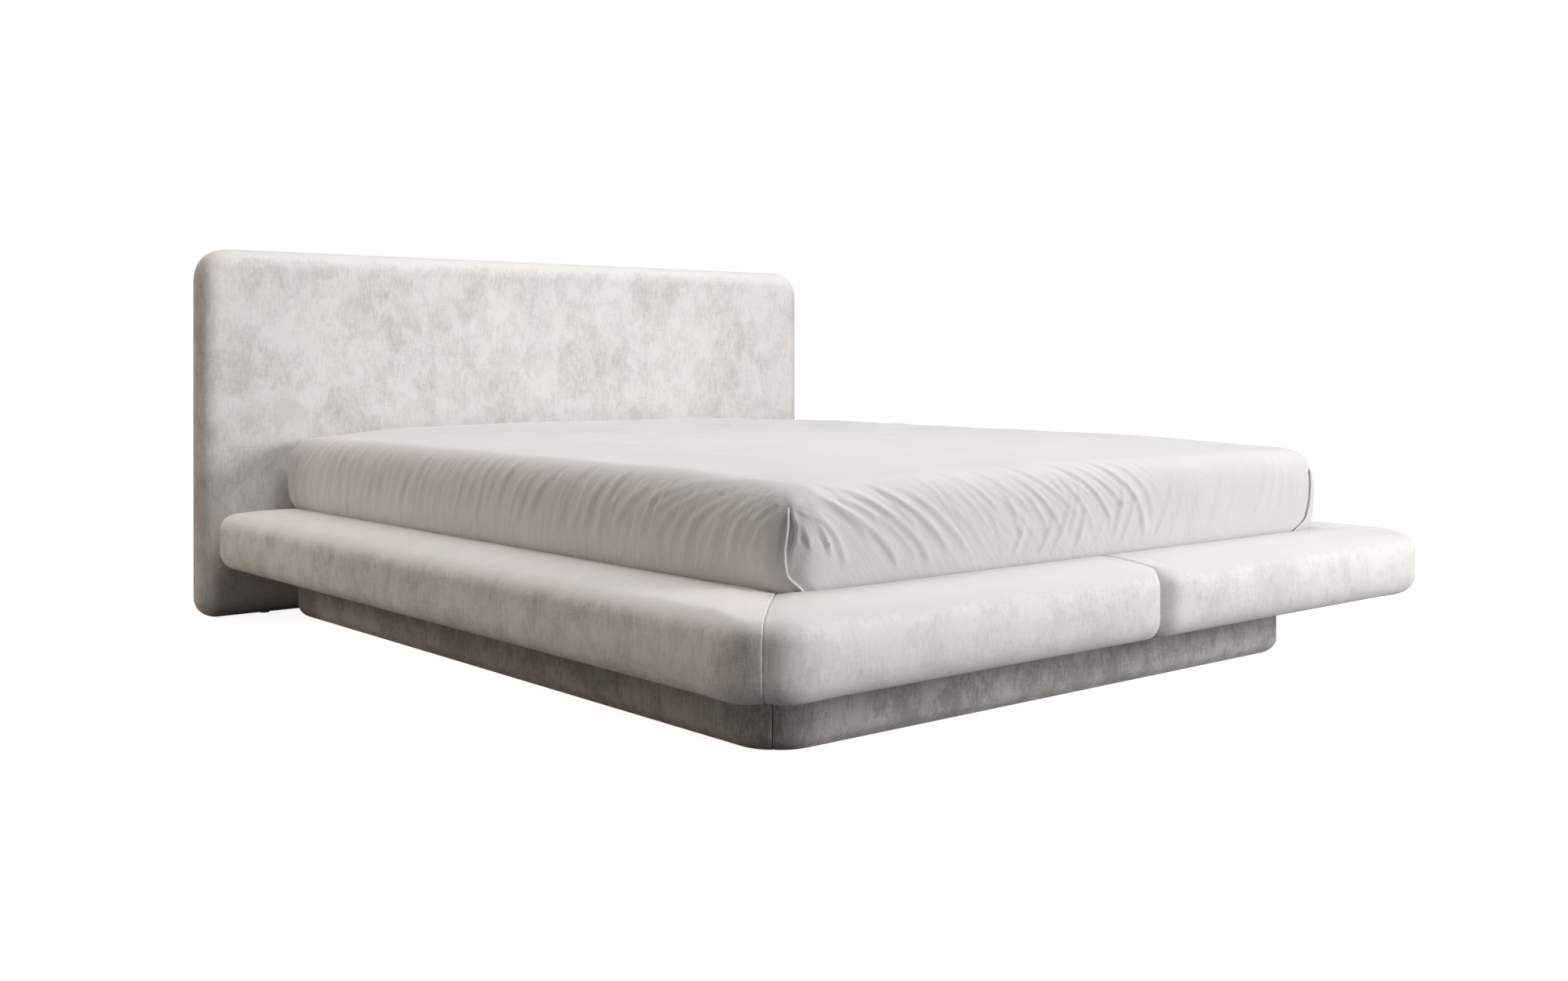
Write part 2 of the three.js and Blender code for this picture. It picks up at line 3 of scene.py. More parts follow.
import bmesh
import bpy
import numpy as np
from bpy.props import FloatProperty, FloatVectorProperty, PointerProperty
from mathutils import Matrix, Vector


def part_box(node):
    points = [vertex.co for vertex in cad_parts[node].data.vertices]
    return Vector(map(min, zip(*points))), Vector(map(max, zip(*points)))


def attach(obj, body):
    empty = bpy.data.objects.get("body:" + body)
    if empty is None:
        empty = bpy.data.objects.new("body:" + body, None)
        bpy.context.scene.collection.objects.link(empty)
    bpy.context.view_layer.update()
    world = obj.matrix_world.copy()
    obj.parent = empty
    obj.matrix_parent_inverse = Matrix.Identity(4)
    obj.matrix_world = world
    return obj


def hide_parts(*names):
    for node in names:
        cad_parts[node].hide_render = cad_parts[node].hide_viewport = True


bl_info = {
    "name": "Upholstered bed",
    "version": (1, 0, 0),
    "blender": (4, 5, 0),
    "location": "View3D > Sidebar > Bed",
    "description": "Builds the soft pieces, finishes and studio of a padded bed on its frame",
    "category": "Add Mesh",
}

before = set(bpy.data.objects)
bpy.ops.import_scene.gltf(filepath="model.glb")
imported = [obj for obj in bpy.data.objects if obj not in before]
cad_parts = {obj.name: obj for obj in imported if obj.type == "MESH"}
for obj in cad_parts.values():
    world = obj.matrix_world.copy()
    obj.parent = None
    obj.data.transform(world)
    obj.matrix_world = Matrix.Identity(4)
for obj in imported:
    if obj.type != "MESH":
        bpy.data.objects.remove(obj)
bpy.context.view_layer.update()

# Distances in metres
WELD = 0.00002
SHARP_ANGLE = math.radians(38)

# Padded platform
PLATFORM_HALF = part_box("side_pad_right")[1][0]
PLATFORM_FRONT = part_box("foot_pad_left")[0][1]
PLATFORM_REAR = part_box("side_pad_left")[1][1]
PLATFORM_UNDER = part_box("side_pad_left")[0][2]
PLATFORM_LOW = (-PLATFORM_HALF, PLATFORM_FRONT)
PLATFORM_HIGH = (PLATFORM_HALF, PLATFORM_REAR)
RAIL_WIDTH = PLATFORM_HALF - abs(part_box("side_pad_left")[1][0])
RIM_HEIGHT = 0.134
RIM_TOP = PLATFORM_UNDER + RIM_HEIGHT
PLATFORM_CORNER = 0.114
PAD_WALL = 0.0217
PAD_SPACE_UNDER = 0.1477
PAD_SPACE_TOP = 0.2503
SPLIT_GAP = 0.00015

# Mattress
MATTRESS_LOW, MATTRESS_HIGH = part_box("mattress")
SHEET_MARGIN = 0.0022
SHEET_OUTSIDE = 0.0019
MATTRESS_CORNER = 0.082

# Plinth
PLINTH_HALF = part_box("plinth_cover_right")[1][0]
PLINTH_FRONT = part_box("plinth_cover_front")[0][1]
PLINTH_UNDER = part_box("plinth_cover_front")[0][2]
PLINTH_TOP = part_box("plinth_cover_front")[1][2]
PLINTH_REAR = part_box("plinth_cover_left")[1][1]
PLINTH_CORNER = 0.102
PLINTH_LOWER = 0.028
PLINTH_PADDING = 0.0137
PLINTH_DEPTH = 0.0320
PLINTH_BOARD_UNDER = 0.0197
PLINTH_SAG = 0.0018
PLINTH_SEAM = 0.004
PLINTH_DIP = 0.0018
PLINTH_DIP_REACH = 0.016

# Headboard
HEADBOARD_LOW, HEADBOARD_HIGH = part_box("headboard_cover")
PANEL_LOW, PANEL_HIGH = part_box("headboard_back_panel")
HEADBOARD_EDGE = 0.046
HEADBOARD_TOP_CORNER = 0.088
HEADBOARD_FOOT_CORNER = 0.052
HEADBOARD_FULLNESS = 2.9
HEADBOARD_LIP = 0.0057
HEADBOARD_WALL = 0.0083
HEADBOARD_PADDING = 0.0377
HEADBOARD_WAVES = 0.0009
HEADBOARD_PITCH = 0.022
PANEL_RECESS = 0.012
PANEL_EDGE = 0.004
PANEL_CORNER = 0.006
PANEL_PITCH = 0.05


# Mesh helpers


def new_object(name, points, faces):
    """A smooth mesh object with welded points and outward faces."""
    mesh = bpy.data.meshes.new(name)
    mesh.from_pydata([tuple(p) for p in points], [], [tuple(f) for f in faces])
    work = bmesh.new()
    work.from_mesh(mesh)
    bmesh.ops.remove_doubles(work, verts=work.verts, dist=WELD)
    bmesh.ops.recalc_face_normals(work, faces=work.faces)
    work.to_mesh(mesh)
    work.free()
    mesh.shade_smooth()
    mesh.set_sharp_from_angle(angle=SHARP_ANGLE)
    thing = bpy.data.objects.new(name, mesh)
    bpy.context.scene.collection.objects.link(thing)
    return thing


def settle(thing):
    """Applies every modifier of an object, so that it is a plain mesh."""
    graph = bpy.context.evaluated_depsgraph_get()
    mesh = bpy.data.meshes.new_from_object(thing.evaluated_get(graph))
    thing.modifiers.clear()
    thing.data = mesh
    return thing


def mirrored(points):
    turned = np.array(points, dtype=float)
    turned[..., 0] *= -1
    return turned


def loft_faces(stations, count):
    """Quads between the loops of a loft, whose points are numbered loop by loop."""
    faces = []
    for s in range(stations - 1):
        for i in range(count):
            j = (i + 1) % count
            a = s * count
            b = a + count
            faces.append((a + i, a + j, b + j, b + i))
    return faces


def capped_loft(rings):
    """Points and faces of a closed body over an array of loops, with a flat cap at each end."""
    stations, count, _ = rings.shape
    faces = loft_faces(stations, count)
    faces.append(tuple(range(count - 1, -1, -1)))
    faces.append(tuple(range((stations - 1) * count, stations * count)))
    return rings.reshape(-1, 3), faces


def loop_normals(rings):
    """Outward unit normals of a loft whose loops are closed."""
    along = np.gradient(rings, axis=0)
    around = np.roll(rings, -1, axis=1) - np.roll(rings, 1, axis=1)
    normals = np.cross(around, along)
    normals /= np.maximum(np.linalg.norm(normals, axis=2, keepdims=True), 1e-12)
    return normals


def box_inset(x, y, low, high, radius):
    """How far points lie inside a rectangle with round corners."""
    qx = np.abs(x - (low[0] + high[0]) / 2) - ((high[0] - low[0]) / 2 - radius)
    qy = np.abs(y - (low[1] + high[1]) / 2) - ((high[1] - low[1]) / 2 - radius)
    outside = np.hypot(np.maximum(qx, 0), np.maximum(qy, 0))
    return radius - outside - np.minimum(np.maximum(qx, qy), 0)


def smooth_step(share):
    share = np.clip(share, 0.0, 1.0)
    return share * share * (3 - 2 * share)


def bell(distance, width):
    """1 where a distance is nothing, and hardly anything past twice the width."""
    return np.exp(-((distance / width) ** 2))


def smooth_noise(points, size, seed):
    """Soft waves between -1 and 1, the same on every run."""
    source = np.random.default_rng(seed)
    total = np.zeros(len(points))
    for _ in range(7):
        direction = source.normal(size=3)
        direction *= 2 * math.pi / (size * np.linalg.norm(direction))
        total += np.sin(points @ direction * source.uniform(0.6, 1.5) + source.uniform(0, 2 * math.pi))
    return total / 4.2


def inflated(thing, is_free, limit, pressure=4.0, steps=20):
    """Swells a closed piece as cloth under pressure, in its free places and by no more than a limit."""
    mesh = thing.data
    count = len(mesh.vertices)
    before = np.empty(count * 3)
    mesh.vertices.foreach_get("co", before)
    before = before.reshape(-1, 3)
    held = thing.vertex_groups.new(name="held")
    held.add([int(i) for i in np.flatnonzero(~is_free(before))], 1.0, "REPLACE")
    cloth = thing.modifiers.new("cloth", "CLOTH")
    cloth.settings.vertex_group_mass = "held"
    cloth.settings.quality = 6
    cloth.settings.mass = 0.3
    cloth.settings.use_pressure = True
    cloth.settings.uniform_pressure_force = pressure
    cloth.settings.effector_weights.gravity = 0.0
    cloth.point_cache.frame_start = 1
    cloth.point_cache.frame_end = steps
    scene = bpy.context.scene
    for step in range(1, steps + 1):
        scene.frame_set(step)
    graph = bpy.context.evaluated_depsgraph_get()
    swollen = thing.evaluated_get(graph).to_mesh()
    after = np.empty(count * 3)
    swollen.vertices.foreach_get("co", after)
    after = after.reshape(-1, 3)
    thing.evaluated_get(graph).to_mesh_clear()
    thing.modifiers.clear()
    thing.vertex_groups.clear()
    scene.frame_set(1)
    move = after - before
    length = np.linalg.norm(move, axis=1, keepdims=True)
    move *= limit * np.tanh(length / limit) / np.maximum(length, 1e-9)
    mesh.vertices.foreach_set("co", (before + move).ravel())
    mesh.update()


# Shader helpers


class Field:
    """A socket of a node tree, so that sums of sockets read as sums."""

    def __init__(self, tree, socket):
        self.tree = tree
        self.socket = socket

    def maths(self, operation, *values, clamp=False):
        node = self.tree.nodes.new("ShaderNodeMath")
        node.operation = operation
        node.use_clamp = clamp
        for slot, value in zip(node.inputs, values):
            put(self.tree, slot, value)
        return Field(self.tree, node.outputs[0])

    def __add__(self, other):
        return self.maths("ADD", self, other)

    def __radd__(self, other):
        return self.maths("ADD", other, self)

    def __sub__(self, other):
        return self.maths("SUBTRACT", self, other)

    def __rsub__(self, other):
        return self.maths("SUBTRACT", other, self)

    def __mul__(self, other):
        return self.maths("MULTIPLY", self, other)

    def __rmul__(self, other):
        return self.maths("MULTIPLY", other, self)

    def clamped(self):
        return self.maths("ADD", self, 0.0, clamp=True)

    def size(self):
        return self.maths("ABSOLUTE", self)

    def spread(self, low, high, to_low=0.0, to_high=1.0):
        """A smooth step from one range to another."""
        settings = {"interpolation_type": "SMOOTHSTEP"}
        inputs = {"Value": self, "From Min": low, "From Max": high, "To Min": to_low, "To Max": to_high}
        return self.made("ShaderNodeMapRange", settings, inputs, "Result")

    def mixed(self, low, high):
        """A colour between two others, with this socket as the share."""
        node = self.tree.nodes.new("ShaderNodeMix")
        node.data_type = "RGBA"
        put(self.tree, node.inputs["Factor"], self)
        put(self.tree, [s for s in node.inputs if s.name == "A" and s.type == "RGBA"][0], low)
        put(self.tree, [s for s in node.inputs if s.name == "B" and s.type == "RGBA"][0], high)
        return Field(self.tree, [s for s in node.outputs if s.type == "RGBA"][0])

    def scaled(self, x, y, z):
        """A vector with each of its parts multiplied."""
        node = self.tree.nodes.new("ShaderNodeVectorMath")
        node.operation = "MULTIPLY"
        put(self.tree, node.inputs[0], self)
        put(self.tree, node.inputs[1], (x, y, z))
        return Field(self.tree, node.outputs[0])

    def made(self, kind, settings, inputs, output):
        """Any other node: its settings first, then its inputs."""
        return made(self.tree, kind, settings, inputs, output)


def put(tree, socket, value):
    if isinstance(value, Field):
        tree.links.new(value.socket, socket)
    elif hasattr(socket.default_value, "__len__") and len(socket.default_value) == 4 and len(value) == 3:
        socket.default_value = (*value, 1.0)
    else:
        socket.default_value = value


def made(tree, kind, settings=(), inputs=(), output=0):
    node = tree.nodes.new(kind)
    for key, value in dict(settings).items():
        setattr(node, key, value)
    for key, value in dict(inputs).items():
        put(tree, node.inputs[key], value)
    return Field(tree, node.outputs[output])


def new_material(name, **constants):
    """A material whose constants are set on the sockets of its own Principled shader."""
    material = bpy.data.materials.new(name)
    material.use_nodes = True
    shader = material.node_tree.nodes["Principled BSDF"]
    for key, value in constants.items():
        put(material.node_tree, shader.inputs[key.replace("_", " ")], value)
    return material


def painted(material, colour, height, strength, distance, roughness=None):
    """Joins a colour, a relief and, where it varies, a roughness to a material's shader."""
    tree = material.node_tree
    inputs = tree.nodes["Principled BSDF"].inputs
    put(tree, inputs["Base Color"], colour)
    put(tree, inputs["Normal"], bumped(height, strength, distance))
    if roughness is not None:
        put(tree, inputs["Roughness"], roughness)
    return material


def object_point(material):
    return made(material.node_tree, "ShaderNodeTexCoord", output="Object")


def noise(point, scale, detail=3.0, roughness=0.55, distortion=0.0):
    settings = {"noise_dimensions": "3D"}
    inputs = {
        "Vector": point, "Scale": scale, "Detail": detail, "Roughness": roughness, "Distortion": distortion,
    }
    return point.made("ShaderNodeTexNoise", settings, inputs, 0)


def bumped(height, strength, distance):
    inputs = {"Height": height, "Strength": strength, "Distance": distance}
    return height.made("ShaderNodeBump", (), inputs, "Normal")


def part_of(vector, axis):
    return vector.made("ShaderNodeSeparateXYZ", (), {0: vector}, axis)


# Settings


def length_setting(name, description, default):
    """A size in metres that a user can change."""
    return FloatProperty(name=name, description=description, default=default, unit="LENGTH")


def colour_setting(name, description, default):
    """A colour that a user can change."""
    return FloatVectorProperty(name=name, description=description, default=default, subtype="COLOR", size=3)


class BedVelvetSettings(bpy.types.PropertyGroup):
    pale: colour_setting("Pale", "Colour of the brushed pile", (0.74, 0.727, 0.716))
    dark: colour_setting("Dark", "Colour of the blotches", (0.47, 0.45, 0.43))
    blotch: length_setting("Blotch size", "Usual width of a blotch", 0.11)
    sheen: FloatProperty(name="Sheen", description="Glow of the pile at its edges", default=0.35)


class BedPadSettings(bpy.types.PropertyGroup):
    corner: length_setting("Corner radius", "Radius of the corners in plan", PLATFORM_CORNER)
    lower: length_setting("Lower radius", "Radius of the lower edge", 0.044)
    upper: length_setting("Upper radius", "Radius of the upper edge", 0.037)
    crown: length_setting("Crown", "Rise of the soft top", 0.010)
    crown_run: length_setting("Crown run", "Width of that rise", 0.110)
    split: length_setting("Split radius", "Radius of the level edges where two ends meet at the foot", 0.010)
    split_edge: length_setting("Split edge radius", "Radius of the upright edges of those ends", 0.042)
    seam: length_setting("Seam depth", "Depth of a mitre seam", 0.0030)
    dip: length_setting("Seam dip", "Depth of the dip to a seam", 0.0036)


class BedMattressSettings(bpy.types.PropertyGroup):
    lower: length_setting("Lower radius", "Radius of the lower edge", 0.034)
    upper: length_setting("Upper radius", "Radius of the upper edge", 0.054)
    draw: length_setting("Draw", "How far the edges are drawn in", 0.011)
    crown: length_setting("Crown", "Rise of the top", 0.012)
    fold_depth: length_setting("Fold depth", "Height of the largest fold", 0.0042)
    cotton: colour_setting("Cotton", "Colour of the sheet", (0.69, 0.683, 0.675))


class BedRowSettings(bpy.types.PropertyGroup):
    spacing: length_setting("Stitch spacing", "From stitch to stitch", 0.006)
    stitch: length_setting("Stitch length", "Length of a stitch", 0.0035)
    thread: length_setting("Thread", "Thickness of the thread", 0.0009)
    staple: length_setting("Staple width", "Width of a staple", 0.011)
    staple_spacing: length_setting("Staple spacing", "From staple to staple", 0.045)
    staple_inset: length_setting("Staple inset", "From the lining's edge to its staples", 0.009)


class BedStageSettings(bpy.types.PropertyGroup):
    lens: FloatProperty(name="Lens", description="Focal length in millimetres", default=36.39)
    turn: FloatProperty(
        name="Turn", description="Angle of the view from the foot", subtype="ANGLE",
        default=math.radians(-39.862),
    )
    key: FloatProperty(
        name="Key light", description="Power of the light at the right in watts", default=210.0,
    )
    sky: FloatProperty(name="Sky", description="Strength of the light from all round", default=0.24)


# Materials

VELVET_TINTS = ((1.0, 0.988, 0.984), (0.982, 0.990, 0.986))


def tinted(warm, paint, factor):
    """A colour at a given strength, in patches of two tints."""
    return warm.mixed(*(tuple(c * t * factor for c, t in zip(paint, tint)) for tint in VELVET_TINTS))


def velvet_material(
    name, settings, shade=1.0, contrast=1.0, painted_side_light=1.0, level_marks=0.16, level_shade=1.0, painted_end_shade=0.0,
):
    """Short brushed pile: soft blotches crossed by fine brush marks where the cloth hangs, fewer on top.

    The colours also hold painted light and shade: shade darkens the whole copy and level_shade its top as
    painted shade, a side light factor brightens the hanging cloth as painted light, and an end shade factor
    darkens the faces at the two ends as painted shade."""
    material = new_material(
        name, Roughness=0.9, Specular_IOR_Level=0.15, Sheen_Weight=settings.sheen,
        Sheen_Roughness=0.45, Sheen_Tint=(0.96, 0.94, 0.92),
    )
    point = object_point(material)
    normal = point.made("ShaderNodeNewGeometry", (), (), "Normal")
    ragged = noise(point.scaled(1.0, 1.0, 0.3), 90.0, 3.0, 0.6)
    hanging = (part_of(normal, "Z") + (ragged - 0.5) * 0.5).spread(0.30, 0.80, 1.0, level_marks)
    ends = part_of(normal, "X").size().spread(0.45, 0.90)
    upright = noise(point.scaled(1.0, 1.0, 0.18), 210.0, 3.0, 0.65, 0.6)
    level = noise(point.scaled(0.15, 0.15, 1.0), 230.0, 3.0, 0.6, 0.4)
    grain = noise(point, 330.0, 4.0, 0.7)
    marks = upright * 0.46 + level * 0.16 + grain * 0.38 - 0.5
    wide = (noise(point, 0.55 / settings.blotch, 3.0, 0.6, 0.4) + marks * 0.10).spread(0.36, 0.68)
    ragged_blotches = noise(point.scaled(1.0, 1.0, 0.8), 1.8 / settings.blotch, 8.0, 0.72, 0.4)
    blotches = (ragged_blotches + marks * 0.40).spread(0.36, 0.66)
    dark = (wide * 0.42 + blotches * 0.56 - 0.10 + marks * (wide * 1.2 + 1.6)) * hanging * contrast
    # painted shade: faces turned to either end take more of the dark colour
    dark = (dark + ends * painted_end_shade).clamped()
    warm = noise(point, 0.9 / settings.blotch, 2.0, 0.5).spread(0.38, 0.62)
    # painted shade: shade darkens the whole copy, and level_shade darkens the top further
    pale = tinted(warm, settings.pale, shade * level_shade)
    # brushed: the hanging cloth's colour, brightened as painted light
    brushed = tinted(warm, settings.pale, shade * painted_side_light)
    deep = tinted(warm, settings.dark, shade)
    pile = upright * 0.5 + level * 0.15 + grain * 0.6
    return painted(material, dark.mixed(hanging.mixed(pale, brushed), deep), pile, 0.30, 0.0010)


def cotton_material(settings):
    """A fine twill, with close small creases where the cloth hangs down the long sides, and painted shade in
    stripes along those creases.
    """
    material = new_material(
        "bed_cotton", Roughness=0.82, Specular_IOR_Level=0.2, Sheen_Weight=0.18, Sheen_Roughness=0.5,
    )
    point = object_point(material)
    normal = point.made("ShaderNodeNewGeometry", (), (), "Normal")
    sideways = part_of(normal, "X").size().spread(0.35, 0.9)
    upward = part_of(normal, "Z").spread(0.3, 0.9)
    ahead = (part_of(normal, "Y") * -1.0).spread(0.6, 0.95)
    x, y, z = (part_of(point, axis) for axis in "XYZ")
    leaning = {"X": x, "Y": y + z * 0.45, "Z": z * 0.12}
    creases = noise(point.made("ShaderNodeCombineXYZ", (), leaning, 0), 55.0, 3.0, 0.55, 0.2)
    sweeping = {"X": x + z * x.spread(0.10, 0.35, 0.9, -0.9), "Y": y, "Z": z * 0.15}
    sweeps = noise(point.made("ShaderNodeCombineXYZ", (), sweeping, 0), 60.0, 3.0, 0.55, 0.2)
    soft = noise(point.scaled(1.0, 0.5, 1.0), 9.0, 3.0, 0.5)
    bands = {"wave_type": "BANDS", "bands_direction": "DIAGONAL", "wave_profile": "SIN"}
    twill = point.made("ShaderNodeTexWave", bands, {"Vector": point, "Scale": 240.0, "Distortion": 0.4}, 1)
    threads = noise(point, 1200.0, 2.0, 0.5)
    # painted shade: the tone darkens in stripes along the side creases, standing in for their shading
    tone = soft.spread(0.35, 0.7) * 0.35 + threads * 0.25 + creases.spread(0.35, 0.65) * sideways * 0.4
    paint = tone.clamped().mixed(settings.cotton, tuple(c * 0.90 for c in settings.cotton))
    height = creases * sideways * 8.0 + sweeps * ahead * 4.0 + soft * upward * 4.0
    return painted(material, paint, height + twill * 0.30 + threads * 0.15, 0.7, 0.0006)


def piping_material(settings):
    """A cord covered in the sheet's cotton, whose colour is made a little brighter than the sheet's as
    painted light.
    """
    material = new_material("bed_piping", Roughness=0.6, Specular_IOR_Level=0.4, Sheen_Weight=0.7)
    wound = noise(object_point(material).scaled(1.0, 1.0, 3.0), 700.0, 2.0, 0.5)
    # painted light: the cord's cotton is brightened to stand in for the light it catches
    painted_light_cotton = tuple(min(c * 1.40, 0.95) for c in settings.cotton)
    return painted(material, wound.mixed(painted_light_cotton, tuple(c * 0.85 for c in painted_light_cotton)), wound, 0.4, 0.0004)


def ticking_material():
    """Woven mattress cover with a quilted relief."""
    material = new_material("bed_ticking", Roughness=0.85, Specular_IOR_Level=0.2, Sheen_Weight=0.1)
    point = object_point(material)
    weave = noise(point.scaled(1.0, 2.2, 1.0), 900.0, 2.0, 0.5)
    quilt = point.made("ShaderNodeTexVoronoi", {"feature": "SMOOTH_F1"}, {"Vector": point, "Scale": 14.0}, 0)
    paint = weave.mixed((0.80, 0.79, 0.76), (0.70, 0.69, 0.66))
    return painted(material, paint, quilt * -4.0 + weave * 0.2, 0.6, 0.003)


def back_cloth_material():
    """A plain woven lining cloth."""
    material = new_material("bed_back_cloth", Roughness=0.92, Specular_IOR_Level=0.15, Sheen_Weight=0.15)
    point = object_point(material)
    woven = {"Vector": point, "Scale": 260.0}
    across = point.made("ShaderNodeTexWave", {"bands_direction": "X"}, woven, 1)
    upright = point.made("ShaderNodeTexWave", {"bands_direction": "Z"}, woven, 1)
    worn = noise(point, 7.0, 4.0, 0.6)
    tone = (across * 0.3 + upright * 0.3 + worn * 0.5).clamped()
    paint = tone.mixed((0.44, 0.42, 0.40), (0.33, 0.315, 0.30))
    return painted(material, paint, across + upright, 0.35, 0.0005)


def wood_material(name, pale, dark, along):
    """Sawn wood, whose grain runs along one axis."""
    material = new_material(name, Roughness=0.62, Specular_IOR_Level=0.3)
    stretch = [1.0, 1.0, 1.0]
    stretch[along] = 0.07
    point = object_point(material).scaled(*stretch)
    grain = noise(point, 70.0, 5.0, 0.6, 1.1)
    pores = noise(point, 900.0, 2.0, 0.5)
    bands = noise(point, 12.0, 2.0, 0.5, 0.6)
    tone = (grain.spread(0.35, 0.68) * 0.55 + bands.spread(0.4, 0.6) * 0.35 + pores * 0.15).clamped()
    roughness = tone.spread(0.0, 1.0, 0.55, 0.72)
    return painted(material, tone.mixed(pale, dark), grain * 0.5 + pores * 0.5, 0.25, 0.0006, roughness)


def plywood_material():
    """Plywood, with pale and dark plies showing through its thickness."""
    material = wood_material("bed_plywood", (0.55, 0.40, 0.24), (0.38, 0.26, 0.15), 0)
    tree = material.node_tree
    base = tree.nodes["Principled BSDF"].inputs["Base Color"]
    faces = Field(tree, base.links[0].from_socket)
    plies = noise(object_point(material).scaled(1.0, 1.0, 9.0), 60.0, 1.0, 0.4).spread(0.45, 0.55, 0.0, 0.35)
    put(tree, base, plies.mixed(faces, (0.27, 0.18, 0.10)))
    return material


def steel_material():
    """Zinc-plated steel with a faint spangle."""
    material = new_material("bed_steel", Metallic=1.0, Roughness=0.38)
    point = object_point(material)
    cells = {"Vector": point, "Scale": 140.0}
    shine = part_of(point.made("ShaderNodeTexVoronoi", {"feature": "F1"}, cells, "Color"), "X")
    scratches = noise(point.scaled(1.0, 0.05, 1.0), 500.0, 2.0, 0.5)
    paint = shine.mixed((0.56, 0.58, 0.60), (0.66, 0.67, 0.68))
    roughness = (shine * 0.14 + scratches * 0.12 + 0.26).clamped()
    return painted(material, paint, scratches, 0.15, 0.0002, roughness)


def plastic_material():
    """Dark moulded plastic with a fine matt texture."""
    material = new_material("bed_glide_plastic", Roughness=0.5, Specular_IOR_Level=0.4)
    texture = noise(object_point(material), 1500.0, 2.0, 0.6)
    paint = texture.mixed((0.020, 0.020, 0.021), (0.035, 0.034, 0.033))
    return painted(material, paint, texture, 0.3, 0.0003, texture.spread(0.2, 0.8, 0.42, 0.62))


def thread_material():
    """Twisted sewing thread."""
    material = new_material("bed_thread", Roughness=0.6, Specular_IOR_Level=0.3, Sheen_Weight=0.3)
    twist = noise(object_point(material), 2500.0, 2.0, 0.5)
    return painted(material, twist.mixed((0.78, 0.77, 0.75), (0.60, 0.58, 0.56)), twist, 0.4, 0.0002)


def finished(thing, material):
    """Gives a piece its finish and lets it ride with the bed."""
    thing.data.materials.clear()
    thing.data.materials.append(material)
    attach(thing, "root")
    return thing


# Platform pads

# The loops of a pad fan out round a pivot at its corner, and near the mitre stand at set distances from it.
# Each loop goes by insets from the edge below, shares of the wall and the top, and depths under the mattress.
# Two loops a step apart stand where the wall that closes the timber's space begins
PIVOT_X = -0.500
PIVOT = Vector((PIVOT_X, PLATFORM_FRONT + PLATFORM_HALF + PIVOT_X, 0.0))
MITRE_ANGLE = math.radians(225)
FAN_REACH = 0.627
FOOT_WALL = 0.022
WALL_STEP = 0.0001
LEAST_ROUNDING = 0.002
LEAST_COVER = 0.002
UNDER_INSETS = (0.185, 0.150, 0.115, 0.085, 0.062)
WALL_SHARES = (0.25, 0.5, 0.75)
TOP_SHARES = (0.0, 0.12, 0.26, 0.42, 0.6, 0.78, 0.92, 1.0)
SEAT_START = 0.0065
SEAT_EDGE = ((0.0006, 0.0090), (0.0018, 0.0112))
SEAT_DEPTHS = (0.0135, 0.016, 0.020, 0.026, 0.033, 0.045)
NEAR_SEAM = [0.0, 0.0008, 0.002, 0.0035, 0.0055, 0.008, 0.011, 0.015, 0.020, 0.027, 0.036, 0.048]
SIDE_PRESS = 0.70

# Reach of the dip at a mitre, and the low swell beside it: its height, middle and reach
DIP_REACH = 0.020
SWELL_BESIDE = 0.0012
SWELL_PLACE = 0.055
SWELL_REACH = 0.030

# How far the pressure swells a pad, and how far from its seams, ends and neighbours it is held
PAD_SWELL = 0.003
HELD_AT_MITRE = 0.055
HELD_AT_GROOVE = 0.05
HELD_AT_HEAD = 0.13
HELD_AT_MATTRESS = 0.02
HELD_BELOW = 0.025
FREE_SKIN = 0.017
FREE_ABOVE = 0.004


def fan_angles():
    """Angles away from the mitre, close together near the seam."""
    rest = np.linspace(0.062, FAN_REACH * math.pi / 4, 22)
    return np.array([*NEAR_SEAM, *rest]) / FAN_REACH


def mattress_under(depth, settings):
    """Height of the space that the mattress presses into the pads, by the distance inside its edge."""
    radius = settings.lower + SHEET_MARGIN
    under = MATTRESS_LOW[2] - SHEET_MARGIN
    sine = np.clip(1 - (depth + SHEET_MARGIN - settings.draw) / radius, 0.0, 1.0)
    inside = under + radius * (1 - np.sqrt(1 - sine * sine))
    return np.where(depth + SHEET_MARGIN < settings.draw, 1.0, inside)


def reach_along(origins, directions, near, far, measure, target):
    """Distance along each ray at which a measure that falls outwards comes down to a target."""
    low = np.array(near, dtype=float)
    high = np.array(far, dtype=float)
    for _ in range(44):
        middle = (low + high) / 2
        places = origins + directions * middle[:, None]
        inside = measure(places[:, 0], places[:, 1]) > target
        low = np.where(inside, middle, low)
        high = np.where(inside, high, middle)
    return (low + high) / 2


